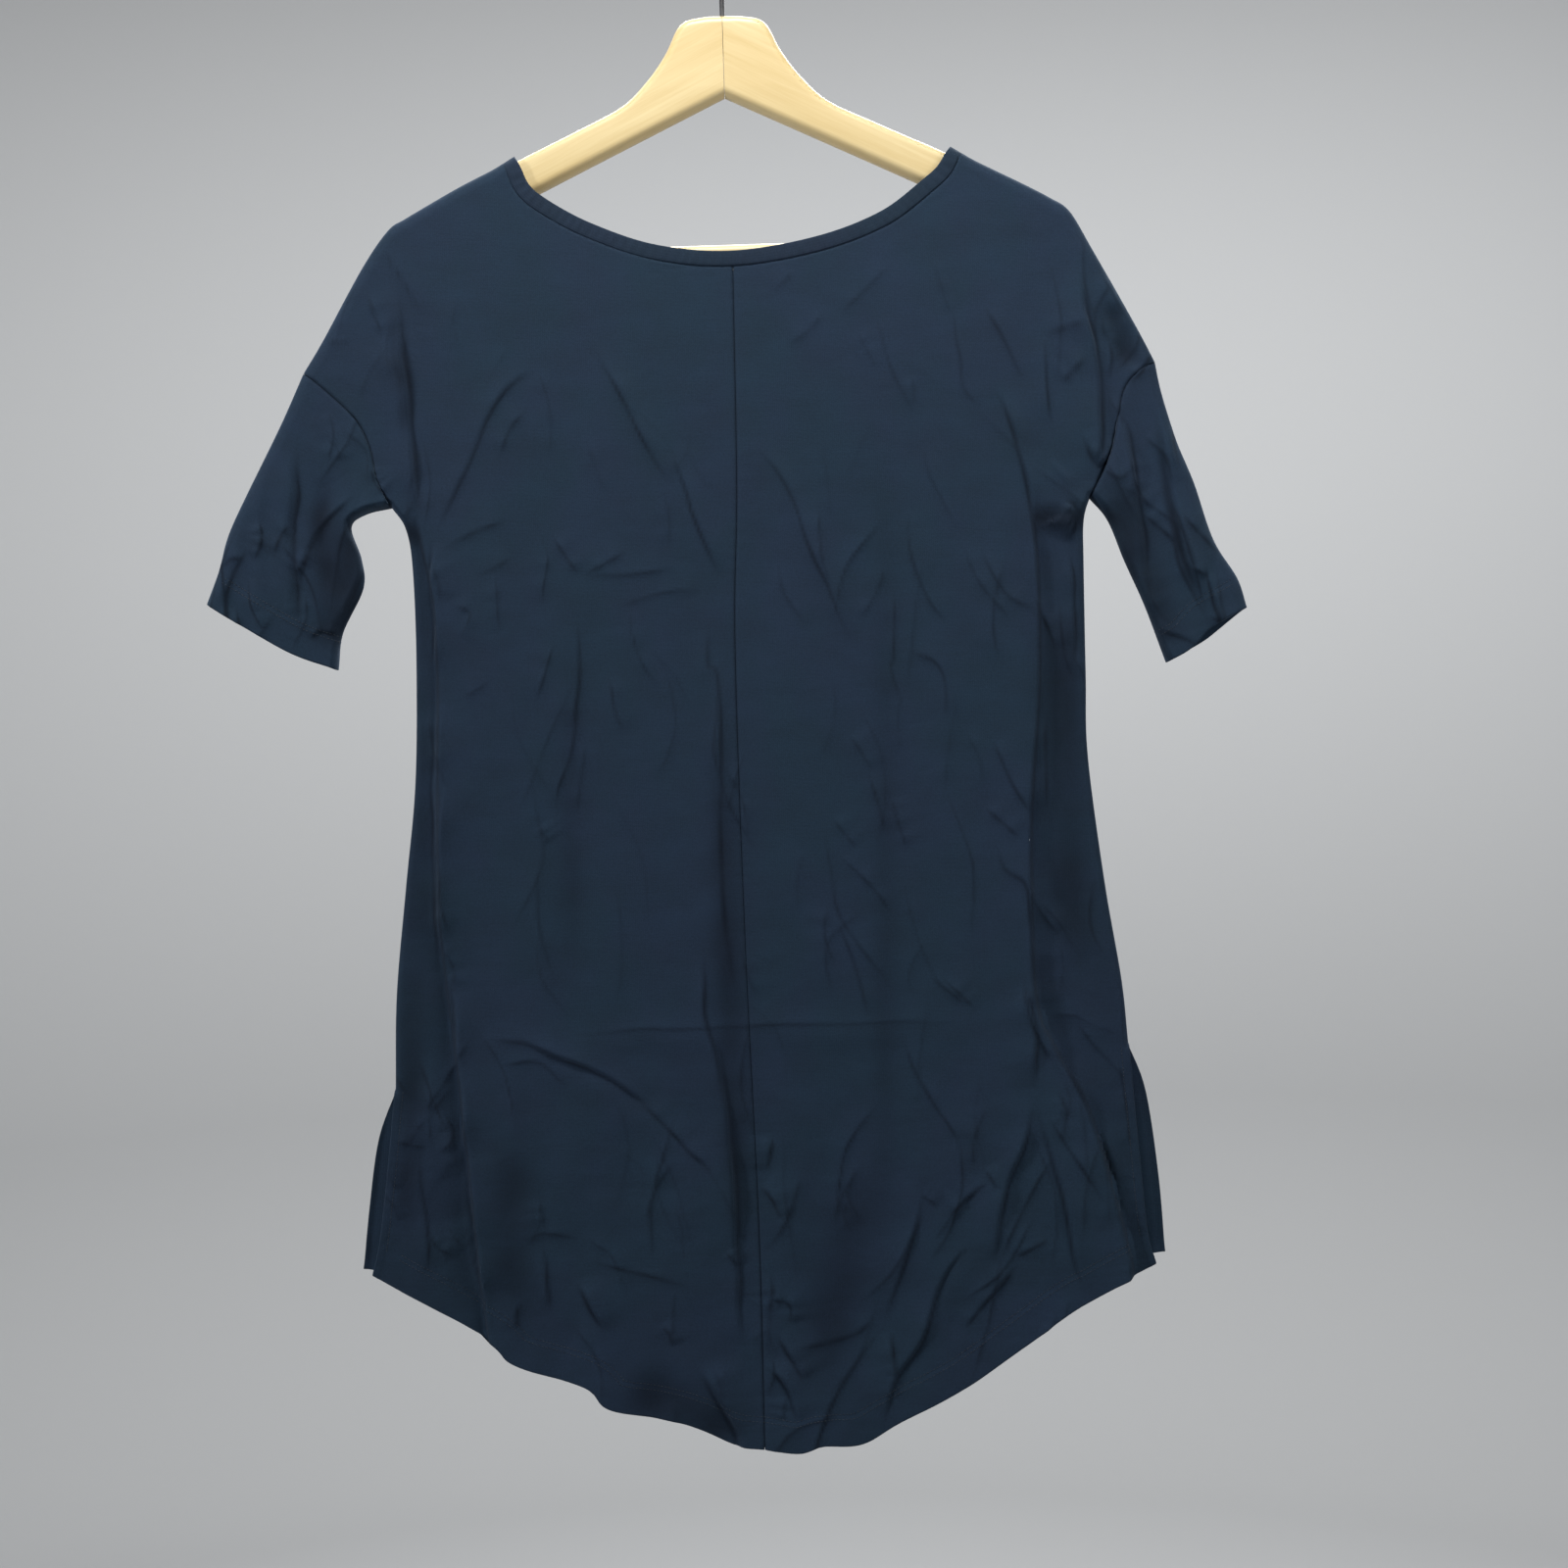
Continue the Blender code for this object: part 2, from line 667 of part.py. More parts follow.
def hanger_blank():
    """Both arms in one, with rounded edges."""
    curve = bpy.data.curves.new("hanger outline", "CURVE")
    curve.dimensions = "2D"
    curve.fill_mode = "BOTH"
    curve.extrude = (ARM_THICKNESS / 2 - ARM_EDGE_ROUND) * MM
    curve.bevel_depth = ARM_EDGE_ROUND * MM
    curve.offset = -ARM_EDGE_ROUND * MM
    curve.bevel_resolution = 2
    outline = hanger_outline()
    spline = curve.splines.new("POLY")
    spline.points.add(len(outline) - 1)
    for point, (x, z) in zip(spline.points, outline):
        point.co = (x * MM, z * MM, 0, 1)
    spline.use_cyclic_u = True
    blank = bpy.data.objects.new("hanger outline", curve)
    blank.rotation_euler.x = np.pi / 2
    PARTS.objects.link(blank)
    bpy.context.view_layer.update()
    return as_mesh(blank)


def add_cutter(name, radius, start, end):
    """A round cutter between two points that lie along x or along z."""
    start, end = np.array(start, float), np.array(end, float)
    bpy.ops.mesh.primitive_cylinder_add(
        vertices=24, radius=radius * MM, depth=np.linalg.norm(end - start) * MM
    )
    cutter = bpy.context.object
    cutter.name = name
    cutter.location = (start + end) / 2 * MM
    if start[0] != end[0]:
        cutter.rotation_euler.y = np.pi / 2
    cutter.hide_render = True
    cutter.display_type = "WIRE"
    for collection in list(cutter.users_collection):
        collection.objects.unlink(cutter)
    CUTTERS.objects.link(cutter)
    return cutter


def add_hanger_arms(look):
    blank = hanger_blank()
    shank = add_cutter(
        "shank bore", WIRE_RADIUS + FIT_GAP, (0, 0, SHANK_END_Z - FIT_GAP), (0, 0, STEM_TOP_Z)
    )
    inner = ARM_FOOT[1][1]
    for name, sign in (("hanger_arm_left", -1), ("hanger_arm_right", 1)):
        arm = bmesh.new()
        arm.from_mesh(blank)
        cut = bmesh.ops.bisect_plane(
            arm,
            geom=arm.verts[:] + arm.edges[:] + arm.faces[:],
            plane_co=(sign * FIT_GAP / 2 * MM, 0, 0),
            plane_no=(-sign, 0, 0),
            clear_outer=True,
        )
        edges = [item for item in cut["geom_cut"] if isinstance(item, bmesh.types.BMEdge)]
        bmesh.ops.holes_fill(arm, edges=edges)
        bmesh.ops.recalc_face_normals(arm, faces=arm.faces)
        mesh = bpy.data.meshes.new(name)
        arm.to_mesh(mesh)
        arm.free()
        mesh.shade_smooth()
        mesh.set_sharp_from_angle(angle=np.radians(40))
        made = add_object(name, mesh, look)
        socket = add_cutter(
            name + " socket",
            BAR_RADIUS + FIT_GAP,
            (sign * (inner - 5), 0, BAR_HEIGHT),
            (sign * (inner + SOCKET_DEPTH + FIT_GAP), 0, BAR_HEIGHT),
        )
        for cutter in (shank, socket):
            bore = made.modifiers.new(cutter.name, "BOOLEAN")
            bore.operation = "DIFFERENCE"
            bore.object = cutter
    bpy.data.meshes.remove(blank)


def add_hanger_bar(look):
    length = 2 * (ARM_FOOT[1][1] + SOCKET_DEPTH)
    bpy.ops.mesh.primitive_cylinder_add(vertices=24, radius=BAR_RADIUS * MM, depth=length * MM)
    bar = bpy.context.object
    bar.name = "hanger_bar"
    bar.location.z = BAR_HEIGHT * MM
    bar.rotation_euler.y = np.pi / 2
    bar.data.materials.append(look)
    bar.data.shade_smooth()
    bar.data.set_sharp_from_angle(angle=np.radians(40))
    for collection in list(bar.users_collection):
        collection.objects.unlink(bar)
    PARTS.objects.link(bar)


def hook_line():
    """The middle of the hook's wire, x and z: shank, bend, and the arc that goes over the rail."""
    angles = np.radians(np.linspace(-52, 216, 30))
    arc = np.column_stack([HOOK_RADIUS * np.cos(angles), HOOK_CENTRE_Z + HOOK_RADIUS * np.sin(angles)])
    bend = smooth((
        ("shank's top", 0.0, STEM_TOP_Z - 6),
        ("stem's top", 0.4, STEM_TOP_Z),
        ("bend", 4.6, -43.0),
        ("arc", arc[0, 0], arc[0, 1]),
    ))
    shank = np.array([(0, SHANK_END_Z), (0, STEM_TOP_Z - 12)])
    return np.vstack([shank, along(bend, np.linspace(0, 1, 9)), arc[1:]])


def add_hanger_hook(look):
    curve = bpy.data.curves.new("hanger_hook", "CURVE")
    curve.dimensions = "3D"
    curve.bevel_depth = WIRE_RADIUS * MM
    curve.bevel_resolution = 2
    curve.use_fill_caps = True
    line = hook_line()
    spline = curve.splines.new("POLY")
    spline.points.add(len(line) - 1)
    for point, (x, z) in zip(spline.points, line):
        point.co = (x * MM, 0, z * MM, 1)
    curve.materials.append(look)
    PARTS.objects.link(bpy.data.objects.new("hanger_hook", curve))


for old in list(bpy.data.objects):
    bpy.data.objects.remove(old)
PARTS = bpy.data.collections.new("round neck blouse")
CUTTERS = bpy.data.collections.new("cutters")
bpy.context.scene.collection.children.link(PARTS)
bpy.context.scene.collection.children.link(CUTTERS)

jersey = material(*JERSEY)
wood = material(*WOOD)
add_back("back_left", LEFT, jersey)
add_back("back_right", RIGHT, jersey)
add_front(jersey)
add_sleeve("sleeve_left", LEFT, jersey)
add_sleeve("sleeve_right", RIGHT, jersey)
add_neck_band(material(*BAND_JERSEY))
add_hanger_arms(wood)
add_hanger_bar(wood)
add_hanger_hook(material(*STEEL))
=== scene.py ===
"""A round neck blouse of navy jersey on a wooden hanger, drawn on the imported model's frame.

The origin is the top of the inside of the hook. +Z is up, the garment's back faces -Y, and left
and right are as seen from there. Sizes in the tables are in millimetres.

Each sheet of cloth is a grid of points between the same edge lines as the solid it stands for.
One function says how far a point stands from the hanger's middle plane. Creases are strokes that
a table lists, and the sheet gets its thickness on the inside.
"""

import bmesh
import bpy
import numpy as np
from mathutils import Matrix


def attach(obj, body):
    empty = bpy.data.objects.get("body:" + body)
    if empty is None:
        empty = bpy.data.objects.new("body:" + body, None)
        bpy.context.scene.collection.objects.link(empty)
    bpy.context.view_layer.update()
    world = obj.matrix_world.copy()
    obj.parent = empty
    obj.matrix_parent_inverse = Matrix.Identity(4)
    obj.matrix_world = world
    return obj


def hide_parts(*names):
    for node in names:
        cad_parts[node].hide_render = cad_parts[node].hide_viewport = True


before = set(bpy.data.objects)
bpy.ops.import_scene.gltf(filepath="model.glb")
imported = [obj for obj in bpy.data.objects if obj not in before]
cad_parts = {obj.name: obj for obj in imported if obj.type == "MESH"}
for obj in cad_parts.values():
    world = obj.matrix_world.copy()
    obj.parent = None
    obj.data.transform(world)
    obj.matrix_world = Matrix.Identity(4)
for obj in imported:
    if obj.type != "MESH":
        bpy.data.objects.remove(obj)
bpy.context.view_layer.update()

bl_info = {
    "name": "Round neck blouse on a hanger",
    "version": (1, 0, 0),
    "blender": (4, 5, 0),
    "location": "View3D > Sidebar > Blouse",
    "description": "Builds a jersey blouse with its creases, its wooden hanger and a plain studio",
    "category": "Object",
}

MM = 0.001
BODY = "root"

# Where the cloth stands, as in the solids
SHOULDER_HALF_DEPTH = 9.5
HEM_HALF_DEPTH = 12.0
SLEEVE_HALF_DEPTH = 8.0
STRIP_HALF_DEPTH = 4.6
LEAST_HALF_DEPTH = 2.4
LEAST_OVER_ARMS = 8.3
ARMS_REACH = 219
ARMS_FOOT = -237
SHOULDER_ROUND = 9.5
SIDE_ROUND = 4.5
LIP_WIDTH = 5.0
SEAM_GAP = 0.3
BAND_WIDTH = 9.4
BAND_WIDTH_AT_SHOULDER = 7.4
BAND_PROUD = 0.5
STEPS_PER_PLACE = 12
EDGE_FADE = 2.5

# Hanger
ARM_THICKNESS = 13.0
ARM_EDGE_ROUND = 5.5
BAR_RADIUS = 5.0
BAR_HEIGHT = -224.0
SOCKET_DEPTH = 8.0
FIT_GAP = 0.3
WIRE_RADIUS = 1.6
HOOK_RADIUS = 20.6
HOOK_CENTRE_Z = -19.0
SHANK_END_Z = -98.0
STEM_TOP_Z = -54.0

# Outlines. Each row is one place: what is there, x and z. These corners end more than one line.
LEFT_NECK_POINT = ("left neck point", -141.5, -162.6)
RIGHT_NECK_POINT = ("right neck point", 149.0, -164.8)
LEFT_CAP = ("left shoulder at the sleeve", -273.7, -293.0)
RIGHT_CAP = ("right shoulder at the sleeve", 268.8, -302.1)
LEFT_UNDERARM = ("left underarm", -220.0, -380.0)
RIGHT_UNDERARM = ("right underarm", 224.5, -387.0)
LEFT_SLIT = ("top of the left slit", -228.9, -750.2)
RIGHT_SLIT = ("top of the right slit", 238.7, -735.0)
LEFT_CORNER_BACK = ("left corner of the back", -246.5, -867.7)
LEFT_CORNER_FRONT = ("left corner of the front", -253.7, -865.1)
RIGHT_CORNER_BACK = ("right corner of the back", 251.9, -875.6)
RIGHT_CORNER_FRONT = ("right corner of the front", 258.9, -869.5)
TAIL_MIDDLE = ("middle of the tail", -0.5, -983.4)
FRONT_HEM_MIDDLE = ("middle of the front hem", 0.0, -890.0)
LEFT_CUFF_OUTER = ("outer end of the left cuff", -339.4, -437.9)
LEFT_CUFF_INNER = ("inner end of the left cuff", -257.6, -482.3)
RIGHT_CUFF_OUTER = ("outer end of the right cuff", 322.7, -460.0)
RIGHT_CUFF_INNER = ("inner end of the right cuff", 270.4, -493.5)
NECK_SEAM_BACK = (
    LEFT_NECK_POINT,
    ("left bend", -134.0, -183.0),
    ("left quarter", -120.0, -196.4),
    ("left slope", -90.0, -213.6),
    ("left low", -48.0, -228.8),
    ("centre back", 2.0, -234.2),
    ("right low", 57.0, -226.6),
    ("right slope", 100.0, -211.6),
    ("right quarter", 129.0, -191.4),
    ("right bend", 142.0, -179.4),
    RIGHT_NECK_POINT,
)
NECK_SEAM_FRONT = (
    LEFT_NECK_POINT,
    ("left bend", -131.0, -192.0),
    ("left slope", -101.0, -238.0),
    ("left low", -54.0, -268.0),
    ("centre front", 2.0, -278.0),
    ("right low", 59.0, -268.0),
    ("right slope", 107.0, -238.0),
    ("right bend", 138.5, -192.0),
    RIGHT_NECK_POINT,
)
LEFT_SHOULDER = (
    LEFT_NECK_POINT,
    ("on the arm", -150.0, -167.4),
    ("middle of the arm", -170.0, -177.0),
    ("end of the arm", -190.0, -187.7),
    ("over the arm's end", -206.0, -196.6),
    ("turn", -217.0, -203.6),
    ("drop", -234.0, -226.8),
    ("drop shoulder", -260.6, -272.4),
    LEFT_CAP,
)
RIGHT_SHOULDER = (
    RIGHT_NECK_POINT,
    ("on the arm", 158.0, -170.3),
    ("middle of the arm", 170.0, -176.6),
    ("end of the arm", 190.0, -187.0),
    ("over the arm's end", 205.0, -195.4),
    ("turn", 217.5, -204.6),
    ("drop", 231.6, -230.0),
    ("drop shoulder", 256.0, -276.0),
    RIGHT_CAP,
)
LEFT_ARMHOLE = (
    LEFT_CAP,
    ("near the top", -261.5, -302.7),
    ("bend", -240.3, -324.0),
    ("inner", -231.5, -342.0),
    ("low", -227.5, -362.0),
    LEFT_UNDERARM,
)
RIGHT_ARMHOLE = (
    RIGHT_CAP,
    ("near the top", 257.0, -308.5),
    ("bend", 248.0, -319.0),
    ("inner", 243.6, -334.0),
    ("low", 237.5, -360.0),
    RIGHT_UNDERARM,
)
LEFT_SIDE = (
    LEFT_UNDERARM,
    ("below the underarm", -211.5, -394.0),
    ("chest", -208.0, -420.0),
    ("waist", -207.5, -480.0),
    ("below the waist", -210.5, -556.0),
    ("hip", -218.5, -622.0),
    ("low hip", -226.4, -690.0),
    LEFT_SLIT,
)
RIGHT_SIDE = (
    RIGHT_UNDERARM,
    ("below the underarm", 220.4, -402.0),
    ("chest", 219.6, -430.0),
    ("waist", 218.8, -500.0),
    ("below the waist", 218.6, -552.0),
    ("hip", 226.8, -632.0),
    ("low hip", 235.6, -694.0),
    RIGHT_SLIT,
)
LEFT_SLIT_BACK = (
    LEFT_SLIT,
    ("middle", -234.9, -802.5),
    ("low", -241.2, -846.0),
    LEFT_CORNER_BACK,
)
LEFT_SLIT_FRONT = (
    LEFT_SLIT,
    ("middle", -241.5, -782.0),
    ("low", -248.7, -826.0),
    LEFT_CORNER_FRONT,
)
RIGHT_SLIT_BACK = (
    RIGHT_SLIT,
    ("middle", 241.7, -785.0),
    ("low", 246.6, -852.0),
    RIGHT_CORNER_BACK,
)
RIGHT_SLIT_FRONT = (
    RIGHT_SLIT,
    ("middle", 249.5, -766.0),
    ("low", 256.0, -820.0),
    RIGHT_CORNER_FRONT,
)
CENTRE_BACK = (
    ("neck seam", 2.0, -234.2),
    ("shoulder blades", 0.2, -375.0),
    ("waist", -3.9, -475.0),
    ("hip", -3.2, -660.0),
    ("tail", 0.0, -844.0),
    TAIL_MIDDLE,
)
CENTRE_FRONT = (
    ("neck seam", 2.0, -278.0),
    FRONT_HEM_MIDDLE,
)
LEFT_HEM_BACK = (
    TAIL_MIDDLE,
    ("first wave", -21.0, -979.8),
    ("first hollow", -50.4, -966.8),
    ("second wave", -97.0, -955.6),
    ("second hollow", -113.0, -941.0),
    ("third wave", -157.0, -925.6),
    ("third hollow", -176.0, -908.8),
    LEFT_CORNER_BACK,
)
RIGHT_HEM_BACK = (
    TAIL_MIDDLE,
    ("tail", 21.0, -986.6),
    ("first hollow", 36.0, -982.6),
    ("first wave", 61.7, -981.6),
    ("second hollow", 87.0, -968.7),
    ("curve", 131.5, -946.6),
    ("third hollow", 170.0, -921.2),
    ("flat", 203.0, -899.6),
    RIGHT_CORNER_BACK,
)
LEFT_HEM_FRONT = (
    FRONT_HEM_MIDDLE,
    ("curve", -135.0, -884.0),
    LEFT_CORNER_FRONT,
)
RIGHT_HEM_FRONT = (
    FRONT_HEM_MIDDLE,
    ("curve", 135.0, -886.0),
    RIGHT_CORNER_FRONT,
)
LEFT_SLEEVE_FOLD = (
    LEFT_CAP,
    ("upper", -287.1, -321.3),
    ("middle", -300.4, -347.2),
    ("lower", -323.0, -391.0),
    ("near the cuff", -330.5, -416.0),
    LEFT_CUFF_OUTER,
)
RIGHT_SLEEVE_FOLD = (
    RIGHT_CAP,
    ("upper", 272.5, -322.0),
    ("middle", 281.0, -352.5),
    ("lower", 291.5, -380.0),
    ("near the cuff", 302.5, -416.0),
    ("above the cuff", 317.0, -441.0),
    RIGHT_CUFF_OUTER,
)
LEFT_UNDERSLEEVE = (
    LEFT_UNDERARM,
    ("roll", -237.0, -383.6),
    ("roll's end", -246.5, -391.5),
    ("hollow", -240.5, -412.0),
    ("inner", -240.0, -431.0),
    ("near the cuff", -254.0, -459.0),
    LEFT_CUFF_INNER,
)
RIGHT_UNDERSLEEVE = (
    RIGHT_UNDERARM,
    ("upper", 235.7, -401.5),
    ("middle", 245.6, -427.7),
    ("lower", 258.2, -458.0),
    RIGHT_CUFF_INNER,
)
LEFT_CUFF = (
    LEFT_CUFF_OUTER,
    ("upper", -316.0, -453.0),
    ("middle", -285.4, -471.5),
    LEFT_CUFF_INNER,
)
RIGHT_CUFF_BACK = (
    RIGHT_CUFF_OUTER,
    ("hollow", 306.0, -468.4),
    ("turn", 296.5, -474.0),
    ("low", 285.0, -485.6),
    RIGHT_CUFF_INNER,
)
RIGHT_CUFF_FRONT = (
    RIGHT_CUFF_OUTER,
    ("upper", 306.0, -473.0),
    ("middle", 293.9, -481.5),
    RIGHT_CUFF_INNER,
)
# Where the side of the body falls back behind the main plane
LEFT_LIP = (
    ("underarm", -203.0, -385.0),
    ("chest", -200.9, -406.5),
    ("waist", -193.4, -463.0),
    ("hip", -196.0, -610.0),
    ("low hip", -193.7, -682.0),
    ("slit", -187.4, -744.6),
    ("hem", -173.7, -907.6),
)
RIGHT_LIP = (
    ("underarm", 186.0, -388.0),
    ("chest", 189.8, -431.0),
    ("waist", 188.8, -506.0),
    ("hip", 181.0, -590.0),
    ("low hip", 180.0, -700.0),
    ("slit", 193.0, -739.0),
    ("flap", 212.0, -777.0),
    ("hem", 236.0, -870.0),
)
ARM_TOP = (
    ("joint", 0.0, -73.75),
    ("crown", 13.0, -74.2),
    ("crown's end", 27.0, -78.6),
    ("neck", 37.0, -97.0),
    ("neck's foot", 49.0, -113.5),
    ("shoulder", 66.0, -129.6),
    ("slope", 96.0, -144.5),
    ("under the band", 133.0, -161.8),
    ("outer slope", 170.0, -179.4),
    ("near the end", 203.0, -197.4),
    ("end", 213.6, -207.4),
    ("end's side", 214.6, -221.0),
    ("end's foot", 208.0, -231.6),
)
ARM_FOOT = (("outer corner", 201.0, -233.4), ("inner corner", 189.5, -233.4), ("inner top", 189.5, -217.0))
ARM_UNDERSIDE = (("block", 189.5, -217.0), ("middle", 120.0, -182.5), ("joint", 0.0, -125.0))
